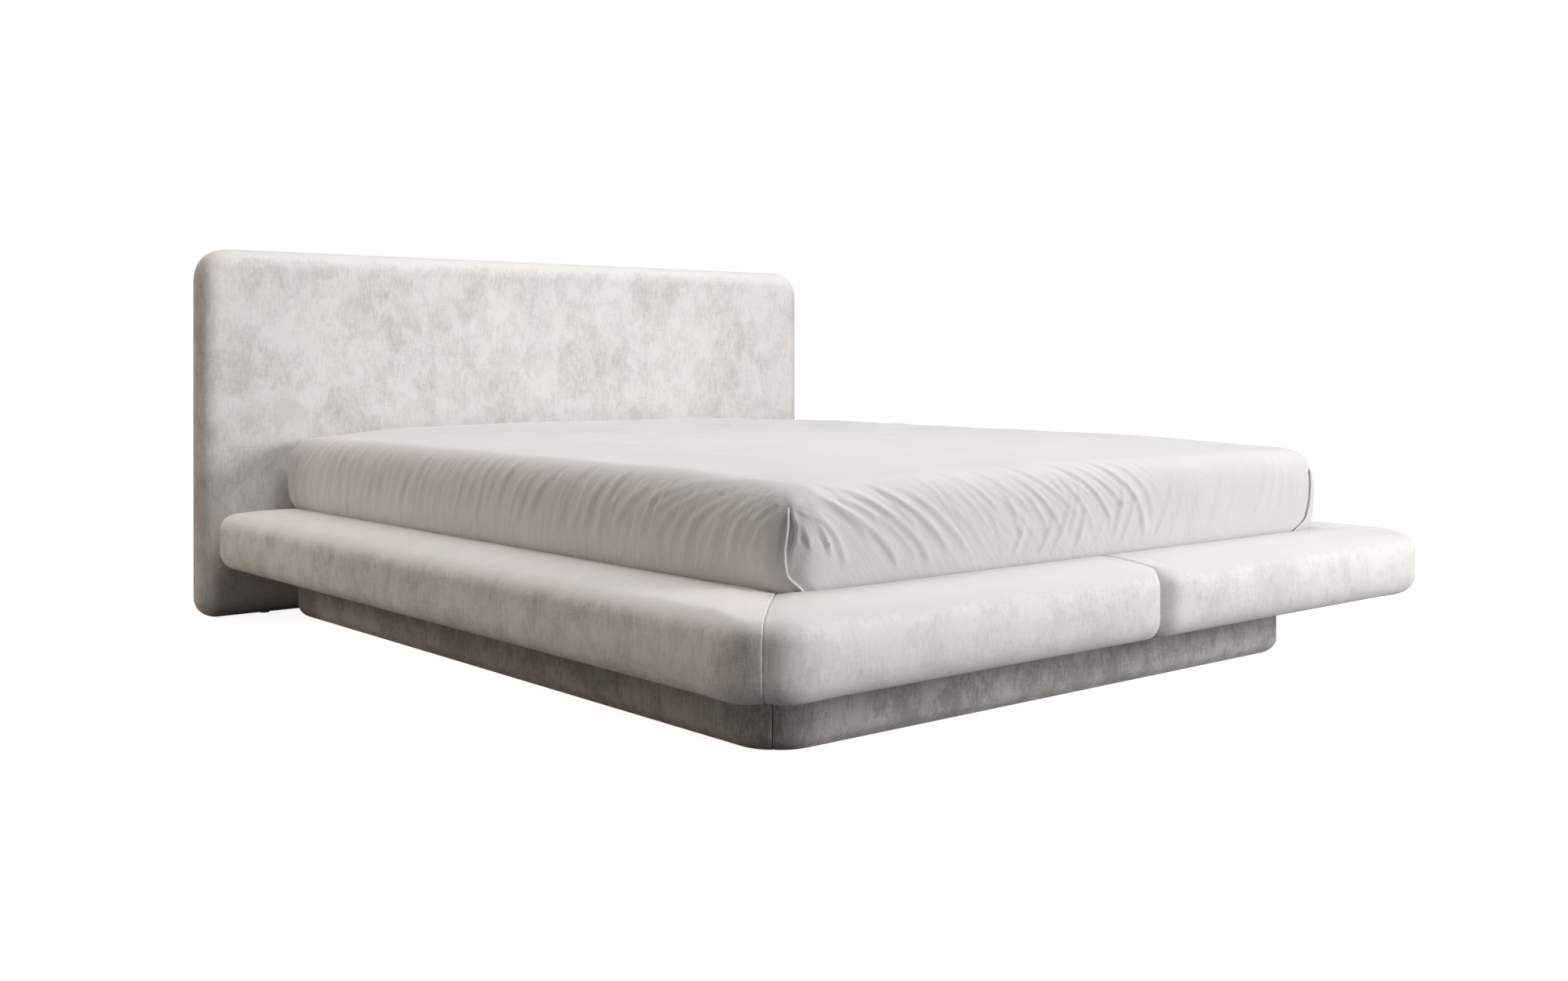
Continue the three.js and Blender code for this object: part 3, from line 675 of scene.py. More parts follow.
def pad_rings(side, pads, bedding):
    """Loops of the left side pad, or of the left half of the foot pad, from the mitre to the other end."""
    swing = fan_angles()
    if side:
        angles = MITRE_ANGLE - swing
        steps = np.linspace(PIVOT.y, PLATFORM_REAR - pads.corner, 56)[1:]
        turn = np.radians([5, 10, 15, 20, 25, 30, 35, 40, 45, 50, 54, 60, 65, 70, 75, 80, 84])
        arc = PLATFORM_REAR - pads.corner * (1 - np.sin(turn))
        walled = PLATFORM_REAR - PAD_WALL + np.array([-WALL_STEP, WALL_STEP])
        run = np.sort([*steps, *arc, *walled, PLATFORM_REAR - 0.0003])
        fixed = [(PIVOT.x, y) for y in run]
        way = (-1.0, 0.0)
        shrink = np.zeros(len(run))
        drawn = shrink
        room = PLATFORM_REAR - run
    else:
        angles = MITRE_ANGLE + swing
        steps = np.linspace(PIVOT.x, -0.062, 18)[1:]
        turn = np.radians(np.arange(0, 91, 7.5))
        arc = -SPLIT_GAP - pads.split * (1 - np.sin(turn))
        turned_in = -SPLIT_GAP - pads.split_edge * (1 - np.sin(turn))
        arc = np.unique(np.round([*arc, *turned_in], 5))
        clear = 3 * WALL_STEP
        ends = (-FOOT_WALL - WALL_STEP, -FOOT_WALL + WALL_STEP)
        walled = np.array([*arc[arc < -FOOT_WALL - clear], *ends, *arc[arc > -FOOT_WALL + clear]])
        run = np.array([*steps, -0.052, *walled])
        fixed = [(x, PIVOT.y) for x in run]
        way = (0.0, -1.0)
        shrink = end_rounding(-SPLIT_GAP - run, pads.split)
        drawn = end_rounding(-SPLIT_GAP - run, pads.split_edge)
        room = np.ones(len(run))
    origins = np.array([(PIVOT.x, PIVOT.y)] * len(swing) + fixed)
    directions = np.array([(math.cos(a), math.sin(a)) for a in angles] + [way] * len(run))
    shrink = np.array([0.0] * len(swing) + list(shrink))
    drawn = np.array([0.0] * len(swing) + list(drawn))
    room = np.array([1.0] * len(swing) + list(room)) * 0.999

    def edge_inset(x, y):
        return box_inset(x, y, PLATFORM_LOW, PLATFORM_HIGH, pads.corner)

    def bed_inset(x, y):
        return box_inset(x, y, MATTRESS_LOW, MATTRESS_HIGH, MATTRESS_CORNER)

    def inner_line(x, y):
        return PLATFORM_HALF - np.abs(x) if side else y - PLATFORM_FRONT

    count = len(origins)
    start = np.zeros(count)
    end = np.full(count, 1.2)
    inner = reach_along(origins, directions, start, end, inner_line, RAIL_WIDTH)
    wall = reach_along(origins, directions, inner, end, edge_inset, PAD_WALL)

    def at_inset(inset):
        values = np.broadcast_to(inset, (count,))
        return reach_along(origins, directions, inner, end, edge_inset, values)

    loops = []

    def add(distance, height):
        places = origins + directions * np.asarray(distance)[:, None]
        loops.append(np.column_stack([places, np.broadcast_to(height, (count,))]))

    def lower_edge(angle):
        sine = 1 - np.minimum(room / pads.lower, 1.0) * (1 - math.sin(angle))
        cosine = np.sqrt(1 - sine * sine)
        height = PLATFORM_UNDER + pads.lower - (pads.lower - shrink) * cosine
        return pads.lower - (pads.lower - drawn) * sine, height

    under = lower_edge(0.0)[1]
    add(inner, under)
    for inset in UNDER_INSETS:
        add(at_inset(inset), under)
    for step in range(8):
        inset, height = lower_edge(math.radians(90 * step / 7))
        add(at_inset(inset), height)
    side_low = PLATFORM_UNDER + pads.lower
    side_high = RIM_TOP - pads.upper
    for share in WALL_SHARES:
        add(at_inset(drawn), side_low + share * (side_high - side_low))
    radius = np.maximum(pads.upper - shrink, LEAST_ROUNDING)
    inward = np.maximum(pads.upper - drawn, LEAST_ROUNDING)
    for step in range(8):
        cosine = 1 - np.minimum(room / pads.upper, 1.0) * (1 - math.cos(math.radians(90 * step / 7)))
        sine = np.sqrt(1 - cosine * cosine)
        add(at_inset(drawn + inward * (1 - cosine)), RIM_TOP - shrink - radius * (1 - sine))

    def top_height(distance):
        places = origins + directions * distance[:, None]
        inset = edge_inset(places[:, 0], places[:, 1])
        share = np.clip((inset - pads.upper) / pads.crown_run, 0.0, 1.0)
        edge_drop = end_rounding(np.minimum(inset, room), pads.upper) if side else shrink
        crowned = RIM_TOP + pads.crown * np.sin(share * math.pi / 2) - edge_drop
        return np.minimum(crowned, mattress_under(bed_inset(places[:, 0], places[:, 1]), bedding))

    top_start = at_inset(np.minimum(drawn + inward + 0.004, room))
    seat_start = reach_along(origins, directions, inner, top_start, bed_inset, SEAT_START)
    for share in TOP_SHARES:
        distance = top_start + share * (seat_start - top_start)
        add(distance, top_height(distance))
    for drop, depth in SEAT_EDGE:
        distance = reach_along(origins, directions, inner, seat_start, bed_inset, depth)
        add(distance, top_height(distance) - drop)
    for depth in SEAT_DEPTHS:
        distance = reach_along(origins, directions, inner, seat_start, bed_inset, depth)
        add(distance, top_height(distance))
    add(inner, top_height(inner))
    outer_count = len(loops)

    walled = np.zeros(count, dtype=bool) if side else origins[:, 0] > -FOOT_WALL
    if not side:
        walled[: len(swing)] = False
    depth = np.where(walled, inner, wall)
    space_top = np.minimum(PAD_SPACE_TOP, top_height(inner) - LEAST_COVER)
    space_under = np.maximum(PAD_SPACE_UNDER, under + LEAST_COVER)
    add(inner, space_top)
    add(depth, space_top)
    add(depth, space_under)
    add(inner, space_under)
    rings = np.stack(loops, axis=1)
    return press_mitre(rings, outer_count, pads, SIDE_PRESS if side else 1.0)


def end_rounding(distance, radius):
    """How far a pad's surface draws in, by its distance from the pad's end."""
    short = np.clip(radius - distance, 0.0, radius)
    return radius - np.sqrt(np.maximum(radius * radius - short * short, 0.0))


def press_mitre(rings, outer_count, pads, share):
    """Draws the outer skin in towards the mitre seam, with a soft dip before it."""
    across = np.array([math.sqrt(0.5), -math.sqrt(0.5), 0.0])
    away = np.abs((rings - np.array([-PLATFORM_HALF, PLATFORM_FRONT, 0.0])) @ across)
    depth = end_rounding(away, pads.seam) + pads.dip * bell(away, DIP_REACH)
    depth = depth * share - SWELL_BESIDE * bell(away - SWELL_PLACE, SWELL_REACH)
    normals = loop_normals(rings)
    flat = normals - (normals @ across)[..., None] * across
    flat /= np.maximum(np.linalg.norm(flat, axis=2, keepdims=True), 1e-9)
    near = bell(away, DIP_REACH)[..., None]
    normals = near * flat + (1 - near) * normals
    weight = np.zeros(rings.shape[1])
    weight[1 : outer_count - 1] = 1.0
    outward = outward_sign(rings, normals)
    return rings - normals * outward * (depth * weight)[..., None]


def outward_sign(rings, normals):
    """1 where the normals of a loft point away from the middle of its loops, else -1."""
    middles = rings.mean(axis=1, keepdims=True)
    return 1.0 if ((rings - middles) * normals).sum() > 0 else -1.0


def pad_is_free(points):
    """The outer face and the rim of a pad, away from its seams, its ends and what it rests against."""
    x = np.abs(points[:, 0])
    y = points[:, 1]
    height = points[:, 2]
    mitre = np.abs((PLATFORM_HALF - x) - (y - PLATFORM_FRONT)) * math.sqrt(0.5)
    bed = box_inset(x, y, MATTRESS_LOW, MATTRESS_HIGH, MATTRESS_CORNER)
    away = (mitre > HELD_AT_MITRE) & (x > HELD_AT_GROOVE) & (y < PLATFORM_REAR - HELD_AT_HEAD)
    inset = box_inset(x, y, PLATFORM_LOW, PLATFORM_HIGH, PLATFORM_CORNER)
    skin = (inset < FREE_SKIN) | (height > PAD_SPACE_TOP + FREE_ABOVE)
    return away & skin & (bed < -HELD_AT_MATTRESS) & (height > PLATFORM_UNDER + HELD_BELOW)


class BED_OT_platform_pads(bpy.types.Operator):
    """Build the padded rim of the platform in four lengths"""

    bl_idname = "bed.platform_pads"
    bl_label = "Platform pads"

    def execute(self, context):
        scene = context.scene
        # Copies of one velvet: tops darkened as painted shade, hanging faces brightened as painted light, the
        # foot copy darker overall as painted shade
        velvets = {
            "side_pad": velvet_material(
                "bed_velvet", scene.bed_velvet, contrast=0.80, painted_side_light=1.10, level_marks=0.34, level_shade=0.93,
            ),
            "foot_pad": velvet_material(
                "bed_velvet_foot", scene.bed_velvet, shade=0.92, contrast=0.45, painted_side_light=1.24, level_shade=0.94,
            ),
        }
        for kind, side in (("side_pad", True), ("foot_pad", False)):
            rings = pad_rings(side, scene.bed_pads, scene.bed_mattress)
            for hand, shape in (("left", rings), ("right", mirrored(rings))):
                points, faces = capped_loft(shape)
                pad = new_object(f"{kind}_{hand}_soft", points, faces)
                inflated(pad, pad_is_free, PAD_SWELL)
                finished(pad, velvets[kind])
                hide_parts(f"{kind}_{hand}")
        return {"FINISHED"}


# Plinth covers


def plinth_rings(front):
    """Loops of the front cover from mitre to mitre, or of the left one from its mitre round to the rear."""
    lower = PLINTH_LOWER
    arc = [math.radians(a) for a in (0, 15, 28, 41, 54, 66, 78, 90)]
    section = [(PLINTH_DEPTH, PLINTH_UNDER)]
    section += [(lower - lower * math.sin(a), PLINTH_UNDER + lower * (1 - math.cos(a))) for a in arc]
    sagged = [height - PLINTH_SAG * smooth_step((inset - 0.006) / 0.014) for inset, height in section]
    section = [(inset, height) for (inset, _), height in zip(section, sagged)]
    wall_low = section[-1][1]
    section += [(0.0, wall_low + (PLINTH_TOP - wall_low) * share) for share in (0.2, 0.4, 0.6, 0.8, 1.0)]
    section += [(PLINTH_PADDING, PLINTH_TOP), (PLINTH_PADDING, PLINTH_BOARD_UNDER)]
    section += [(PLINTH_DEPTH, PLINTH_BOARD_UNDER)]
    centre = np.array([-PLINTH_HALF + PLINTH_CORNER, PLINTH_FRONT + PLINTH_CORNER])
    near = np.array([0.0, 0.0008, 0.002, 0.0035, 0.0055, 0.009, 0.014, 0.021, 0.030]) / PLINTH_CORNER
    swing = np.array([*near, *np.linspace(near[-1], math.pi / 4, 6)[1:]])
    stations = []
    if front:
        for angle in MITRE_ANGLE + swing:
            stations.append((centre, (math.cos(angle), math.sin(angle))))
        for x in np.linspace(centre[0], -centre[0], 60)[1:-1]:
            stations.append((np.array([x, centre[1]]), (0.0, -1.0)))
        for angle in (MITRE_ANGLE + swing)[::-1]:
            stations.append((np.array([-centre[0], centre[1]]), (-math.cos(angle), math.sin(angle))))
    else:
        for angle in MITRE_ANGLE - swing:
            stations.append((centre, (math.cos(angle), math.sin(angle))))
        behind = PLINTH_REAR - PLINTH_CORNER
        for y in np.linspace(centre[1], behind, 76)[1:]:
            stations.append((np.array([centre[0], y]), (-1.0, 0.0)))
        for turn in np.radians(np.arange(7.5, 91, 7.5)):
            stations.append((np.array([centre[0], behind]), (-math.cos(turn), math.sin(turn))))
    rings = []
    for origin, way in stations:
        away = abs(abs(way[0]) - abs(way[1])) * PLINTH_CORNER * math.sqrt(0.5)
        if way[1] >= 0.0 or way[0] == 0.0:
            away = 1.0
        dip = PLINTH_DIP * bell(away, PLINTH_DIP_REACH)
        press = float(end_rounding(np.array(away), PLINTH_SEAM)) + dip
        ring = []
        for index, (inset, height) in enumerate(section):
            drawn = press if index < len(section) - 3 else 0.0
            reach = PLINTH_CORNER - inset - drawn
            ring.append((origin[0] + way[0] * reach, origin[1] + way[1] * reach, height))
        rings.append(ring)
    return np.array(rings)


class BED_OT_plinth_covers(bpy.types.Operator):
    """Build the three padded covers of the plinth"""

    bl_idname = "bed.plinth_covers"
    bl_label = "Plinth covers"

    def execute(self, context):
        # A darker copy of the velvet: painted shade for the plinth under the overhang
        velvet = velvet_material("plinth_velvet", context.scene.bed_velvet, shade=0.69, contrast=1.7)
        left = plinth_rings(False)
        shapes = {"front": plinth_rings(True), "left": left, "right": mirrored(left)}
        for hand, rings in shapes.items():
            points, faces = capped_loft(rings)
            cover = new_object(f"plinth_cover_{hand}_soft", points, faces)
            finished(cover, velvet)
            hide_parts(f"plinth_cover_{hand}")
        return {"FINISHED"}


# Boxed shapes: a flat grid with round corners, and loops down its sides


CORNER_ANGLES = (45, 43.6, 42.2, 40.4, 38, 34.5, 30, 24.5, 18.5, 12.5, 6)


def corner_lines(radius):
    """Distances from an edge at which grid lines turn into even steps round a corner."""
    return [radius * (1 - math.tan(math.radians(a))) for a in CORNER_ANGLES]


def grid_lines(low, high, radius, pitch):
    """Grid lines between two edges, with close ones near each edge for the round corners."""
    close = np.array(corner_lines(radius))
    inner = np.linspace(low + radius, high - radius, max(2, round((high - low - 2 * radius) / pitch) + 1))
    return np.array([*(low + close), *inner, *(high - close[::-1])])


def rounded_grid(xs, ys, radii, power):
    """A grid over a rectangle, bent so that its corners are round, or fuller with a power above 2."""
    x, y = np.meshgrid(xs, ys, indexing="ij")
    x = x.copy()
    y = y.copy()
    for sy, edge, radius in ((-1, ys[0], radii[0]), (1, ys[-1], radii[1])):
        cy = edge - sy * radius
        for sx, cx in ((-1, xs[0] + radius), (1, xs[-1] - radius)):
            a = (x - cx) * sx
            b = (y - cy) * sy
            inside = (a > 1e-9) & (b > 1e-9)
            length = (np.maximum(a, 0) ** power + np.maximum(b, 0) ** power) ** (1 / power)
            scale = np.where(inside, np.maximum(a, b) / np.maximum(length, 1e-12), 1.0)
            x = np.where(inside, cx + sx * a * scale, x)
            y = np.where(inside, cy + sy * b * scale, y)
    return x, y


def border_order(nx, ny):
    """Grid places of the border, counter-clockwise."""
    low = [(i, 0) for i in range(nx)]
    right = [(nx - 1, j) for j in range(1, ny)]
    high = [(i, ny - 1) for i in range(nx - 2, -1, -1)]
    left = [(0, j) for j in range(ny - 2, 0, -1)]
    return low + right + high + left


def boxed(xs, ys, radius, profile, parts=None, low_radius=None, power=2.0):
    """A grid top whose border runs on down a profile of steps (outset, height), the border itself first.

    An edge of the border can be split into parts for finer sides. Returns plan points, the profile step of
    each, faces, and the numbers of the points of the last loop."""
    low_radius = low_radius or radius
    x, y = rounded_grid(xs, ys, (low_radius, radius), power)
    nx, ny = x.shape
    border = border_order(nx, ny)
    edge = np.array([(x[i, j], y[i, j]) for i, j in border])
    following = np.roll(edge, -1, axis=0)
    counts = [parts(*middle) if parts else 1 for middle in (edge + following) / 2]
    split = zip(edge, following, counts)
    fine = np.concatenate([a + (b - a) * np.arange(n)[:, None] / n for a, b, n in split])
    first = np.concatenate([[0], np.cumsum(counts)])
    total = len(fine)
    own = np.where(fine[:, 1] < (ys[0] + ys[-1]) / 2, low_radius, radius)
    core_x = np.clip(fine[:, 0], xs[0] + own, xs[-1] - own)
    core = np.column_stack([core_x, np.clip(fine[:, 1], ys[0] + low_radius, ys[-1] - radius)])
    out = (fine - core) / np.linalg.norm(fine - core, axis=1, keepdims=True)
    plan = [np.column_stack([x.ravel(), y.ravel()])]
    level = [np.zeros(nx * ny, dtype=int)]
    for step, (outset, _) in enumerate(profile[1:], start=1):
        plan.append(fine + out * outset)
        level.append(np.full(total, step))
    faces = []
    for i in range(nx - 1):
        for j in range(ny - 1):
            a = i * ny + j
            faces.append((a, a + ny, a + ny + 1, a + 1))
    upper = [i * ny + j for i, j in border]
    base = nx * ny
    for k, count in enumerate(counts):
        below = [base + (first[k] + m) % total for m in range(count + 1)]
        faces.append((upper[k], *below, upper[(k + 1) % len(upper)]))
    for _ in range(2, len(profile)):
        for k in range(total):
            n = (k + 1) % total
            faces.append((base + k, base + total + k, base + total + n, base + n))
        base += total
    return np.concatenate(plan), np.concatenate(level), faces, list(range(base, base + total))


# Headboard


class BED_OT_headboard(bpy.types.Operator):
    """Build the headboard's padded cover and its rear panel"""

    bl_idname = "bed.headboard"
    bl_label = "Headboard"

    def execute(self, context):
        scene = context.scene
        front = HEADBOARD_LOW[1]
        back = HEADBOARD_HIGH[1]
        edge = HEADBOARD_EDGE
        corner = HEADBOARD_TOP_CORNER
        foot = HEADBOARD_FOOT_CORNER
        arc = [math.radians(a) for a in (12, 24, 36, 48, 60, 72, 81, 90)]
        profile = [(0.0, front)]
        profile += [(edge * math.sin(a), front + edge * (1 - math.cos(a))) for a in arc]
        profile += [(edge * math.sin(a), back - edge * (1 - math.cos(a))) for a in arc[::-1]]
        recess = back - PANEL_RECESS
        profile += [(0.0, back), (-HEADBOARD_LIP, back), (-HEADBOARD_LIP, recess), (HEADBOARD_WALL, recess)]
        profile += [(HEADBOARD_WALL, front + HEADBOARD_PADDING)]
        xs = grid_lines(HEADBOARD_LOW[0] + edge, HEADBOARD_HIGH[0] - edge, corner - edge, HEADBOARD_PITCH)
        zs = grid_lines(HEADBOARD_LOW[2] + edge, HEADBOARD_HIGH[2] - edge, corner - edge, HEADBOARD_PITCH)

        def corner_parts(x, z):
            return 4 if z < zs[0] + 0.010 and abs(x) > xs[-1] - 0.010 else 1

        plan, level, faces, rim = boxed(
            xs, zs, corner - edge, profile, corner_parts, foot - edge, HEADBOARD_FULLNESS,
        )
        depth = np.array([y for _, y in profile])[level]
        points = np.column_stack([plan[:, 0], depth, plan[:, 1]])
        low = (HEADBOARD_LOW[0], HEADBOARD_LOW[2])
        high = (HEADBOARD_HIGH[0], HEADBOARD_HIGH[2])
        inset = box_inset(plan[:, 0], plan[:, 1], low, high, corner)
        soft = smooth_noise(points, 0.5, 11) * HEADBOARD_WAVES * np.clip(inset / 0.08, 0, 1)
        points[:, 1] -= np.where(level == 0, soft, 0.0)
        faces.append(tuple(rim))
        cover = new_object("headboard_cover_soft", points, faces)
        # The headboard's two end faces are darkened as painted shade
        velvet = velvet_material("bed_velvet_headboard", scene.bed_velvet, contrast=0.75, painted_end_shade=0.45)
        finished(cover, velvet)
        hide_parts("headboard_cover")

        edge = PANEL_EDGE
        arc = [math.radians(a) for a in (22.5, 45, 67.5, 90)]
        profile = [(0.0, PANEL_HIGH[1])]
        profile += [(edge * math.sin(a), PANEL_HIGH[1] - edge * (1 - math.cos(a))) for a in arc]
        profile += [(edge, PANEL_LOW[1])]
        xs = grid_lines(PANEL_LOW[0] + edge, PANEL_HIGH[0] - edge, PANEL_CORNER, PANEL_PITCH)
        zs = grid_lines(PANEL_LOW[2] + edge, PANEL_HIGH[2] - edge, PANEL_CORNER, PANEL_PITCH)
        plan, level, faces, rim = boxed(xs, zs, PANEL_CORNER, profile)
        points = np.column_stack([plan[:, 0], np.array([y for _, y in profile])[level], plan[:, 1]])
        faces.append(tuple(rim))
        panel = new_object("headboard_back_cloth", points, faces)
        finished(panel, back_cloth_material())
        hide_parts("headboard_back_panel")
        return {"FINISHED"}


# Mattress and sheet


# Rows down the side: how far down each band of rows ends, and the distance between its rows
ROW_BANDS = ((0.038, 0.0060), (0.070, 0.0045), (0.102, 0.0027), (0.400, 0.0060))
UPPER_FULLNESS = 2.5
LOWER_FULLNESS = 2.2
CORNER_SLUMP = 0.009
SLUMP_REACH = 0.20
CORNER_PULL = 0.020
RIGHT_FULLNESS = 0.008
HEAD_FULLNESS = 0.003
MATTRESS_PITCH = 0.03

# The mattress sinks and draws in a little more than the sheet at its corners, so that it stays under it
INNER_SLUMP = 1.15
INNER_PULL = 0.011


def mattress_profile(settings, margin, hem=None):
    """Steps (outset, height) from the shoulder down the rounded side to the underside, or to a hem."""
    shoulder = MATTRESS_HIGH[2] - settings.crown
    widest = (shoulder + MATTRESS_LOW[2]) / 2
    start = settings.draw + settings.upper
    reach = start + margin
    drop = shoulder + margin - widest
    turn = np.radians(np.linspace(0, 90, 400))
    sine = np.sin(turn)
    cosine = np.maximum(np.cos(turn), 0.0)
    upper = [reach * sine ** (2 / UPPER_FULLNESS), widest + drop * cosine ** (2 / UPPER_FULLNESS)]
    inward = settings.draw + settings.lower + margin
    drop = widest + margin - MATTRESS_LOW[2]
    outset = reach - inward * (1 - cosine ** (2 / LOWER_FULLNESS))
    lower = [outset, widest - drop * sine ** (2 / LOWER_FULLNESS)]
    line = np.concatenate([np.column_stack(upper), np.column_stack(lower)[1:]])
    if hem is not None:
        line = line[line[:, 1] > hem]
    run = np.concatenate([[0.0], np.cumsum(np.linalg.norm(np.diff(line, axis=0), axis=1))])
    rows = []
    band_start = 0.0
    for band_end, pitch in ROW_BANDS:
        rows.extend(np.arange(band_start, min(band_end, run[-1] - pitch / 2), pitch))
        band_start = band_end
    rows.append(run[-1])
    return start, [(np.interp(r, run, line[:, 0]), np.interp(r, run, line[:, 1])) for r in rows]


def fullness(plan, run, settings, start):
    """Rise of the top above its shoulder. It runs on to the head end, and is fuller along the right edge."""
    reach = (MATTRESS_HIGH[0] - start) * 0.85
    beyond = (MATTRESS_HIGH[0], MATTRESS_HIGH[1] + 1.0)
    inset = box_inset(plan[:, 0], plan[:, 1], MATTRESS_LOW, beyond, MATTRESS_CORNER) - start
    crown = settings.crown * np.sin(np.clip(inset / reach, 0.0, 1.0) * math.pi / 2)
    at_head = HEAD_FULLNESS * smooth_step((plan[:, 1] - 0.4) / 0.5) * smooth_step(inset / 0.30)
    from_foot = plan[:, 1] - MATTRESS_LOW[1]
    at_right = RIGHT_FULLNESS * smooth_step((plan[:, 0] - 0.25) / 0.40)
    at_right = at_right * smooth_step((from_foot - 0.10) / 0.50)
    return (crown + at_head + at_right) * (1 - smooth_step(run / 0.12))


def corner_slump(plan, run):
    """How far the soft corners of the mattress sink, over the top and a little way down the sides."""
    reach = np.array([MATTRESS_HIGH[0], (MATTRESS_HIGH[1] - MATTRESS_LOW[1]) / 2])
    middle = np.array([0.0, (MATTRESS_HIGH[1] + MATTRESS_LOW[1]) / 2])
    away = np.linalg.norm(reach - np.abs(plan - middle), axis=1)
    return CORNER_SLUMP * bell(away, SLUMP_REACH) * (1 - smooth_step((run - 0.03) / 0.14))


def corner_pull(out, run):
    """How far the slack corner at the right of the foot is drawn in, less so low down."""
    cornered = 2 * np.abs(out[:, 0] * out[:, 1]) * at_right_foot(out)
    pull = CORNER_PULL * cornered * (1 - 0.6 * smooth_step((run - 0.16) / 0.07))
    return pull * smooth_step((run + 0.06) / 0.08)


def at_right_foot(out):
    return ((out[:, 0] > 0) & (out[:, 1] < 0)).astype(float)


def corner_directions(plan):
    """Unit directions outwards from the mattress's core, which turn round at its corners."""
    low = np.array(MATTRESS_LOW[:2]) + MATTRESS_CORNER
    high = np.array(MATTRESS_HIGH[:2]) - MATTRESS_CORNER
    out = plan - np.clip(plan, low, high)
    return out / np.maximum(np.linalg.norm(out, axis=1), 1e-9)[:, None]


class BED_OT_mattress(bpy.types.Operator):
    """Build the mattress inside the sheet"""

    bl_idname = "bed.mattress"
    bl_label = "Mattress"

    def execute(self, context):
        settings = context.scene.bed_mattress
        start, profile = mattress_profile(settings, 0.0)
        radius = MATTRESS_CORNER - start
        xs = grid_lines(MATTRESS_LOW[0] + start, MATTRESS_HIGH[0] - start, radius, MATTRESS_PITCH)
        ys = grid_lines(MATTRESS_LOW[1] + start, MATTRESS_HIGH[1] - start, radius, MATTRESS_PITCH)
        plan, level, faces, rim = boxed(xs, ys, radius, profile)
        height = np.array([z for _, z in profile])[level]
        out = corner_directions(plan)
        cornered = (2 * np.abs(out[:, 0] * out[:, 1])) ** 2 * (level > 0)
        run = np.concatenate([[0.0], np.cumsum(np.linalg.norm(np.diff(profile, axis=0), axis=1))])[level]
        height = height + fullness(plan, run, settings, start) - INNER_SLUMP * corner_slump(plan, run)
        plan = plan - out * (INNER_PULL * cornered + corner_pull(out, run))[:, None]
        faces.append(tuple(rim))
        body = new_object("mattress_soft", np.column_stack([plan, height]), faces)
        finished(body, ticking_material())
        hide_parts("mattress")
        return {"FINISHED"}


def fold_shape(across):
    """Section of a fold: a ridge with a shallow hollow on one side."""
    return np.exp(-np.abs(across) ** 1.6) - 0.45 * bell(across + 1.6, 1.1)


def fold_width(width, run, fall):
    """A fold is wider at its top, and much wider where it runs on over the top of the mattress."""
    return width * (1.2 - 0.3 * fall) + 0.010 * smooth_step((0.010 - run) / 0.04)


def strokes(place, run, count, seed, shape):
    """Sum of curved folds down a side. The shape gives a fold's foot, reach, bend, width, size and span."""
    source = np.random.default_rng(seed)
    total = np.zeros(len(place))
    for index in range(count):
        foot, reach, bend, width, size, first, last = shape(index / max(count - 1, 1), source)
        fall = np.clip((run - first) / (last - first), 0.0, 1.0)
        centre = foot - reach * (1 - fall) ** bend
        window = smooth_step((run - first) / 0.05) * smooth_step((last - run) / 0.045)
        total += size * fold_shape((place - centre) / fold_width(width, run, fall)) * window
    return total


# Folds down the foot side of the sheet: where a fold ends, how far back its top lies,
# its bend, width, height as a share of the deepest, and the distances down at which it starts and ends
FAN_FOLDS = (
    (-0.745, 0.020, 1.2, 0.0050, 1.10, 0.088, 0.160),
    (-0.706, 0.034, 1.3, 0.0060, 1.25, 0.090, 0.168),
    (-0.672, 0.075, 1.5, 0.0075, 0.75, 0.070, 0.190),
    (-0.622, 0.125, 1.6, 0.0090, 0.80, 0.055, 0.150),
    (-0.552, 0.200, 1.5, 0.0095, 1.00, 0.040, 0.200),
    (-0.508, 0.205, 1.5, 0.0085, 0.55, 0.045, 0.190),
    (-0.474, 0.230, 1.5, 0.0100, 0.90, 0.025, 0.202),
    (-0.428, 0.200, 1.4, 0.0090, 0.80, 0.030, 0.188),
    (-0.380, 0.165, 1.4, 0.0085, 0.60, 0.050, 0.196),
    (-0.334, 0.110, 1.3, 0.0080, 0.45, 0.085, 0.190),
    (-0.296, 0.215, 1.2, 0.0110, 0.25, -0.020, 0.120),
)
SWEEPING_FOLDS = (
    (-0.238, 0.060, 1.2, 0.0075, 0.50, 0.060, 0.175),
    (-0.196, 0.250, 1.2, 0.0090, 0.28, -0.030, 0.140),
    (-0.164, 0.070, 1.1, 0.0070, 0.60, 0.070, 0.168),
    (-0.122, 0.150, 1.2, 0.0080, 0.50, 0.030, 0.165),
    (-0.074, 0.240, 1.2, 0.0085, 0.45, -0.020, 0.150),
    (-0.030, 0.110, 1.2, 0.0075, 0.60, 0.040, 0.178),
    (0.014, 0.290, 1.8, 0.0085, 0.70, -0.045, 0.172),
    (0.062, 0.180, 1.5, 0.0080, 0.60, 0.010, 0.150),
    (0.118, 0.340, 2.2, 0.0085, 0.80, -0.060, 0.198),
    (0.142, 0.250, 2.4, 0.0095, 0.50, -0.030, 0.165),
)
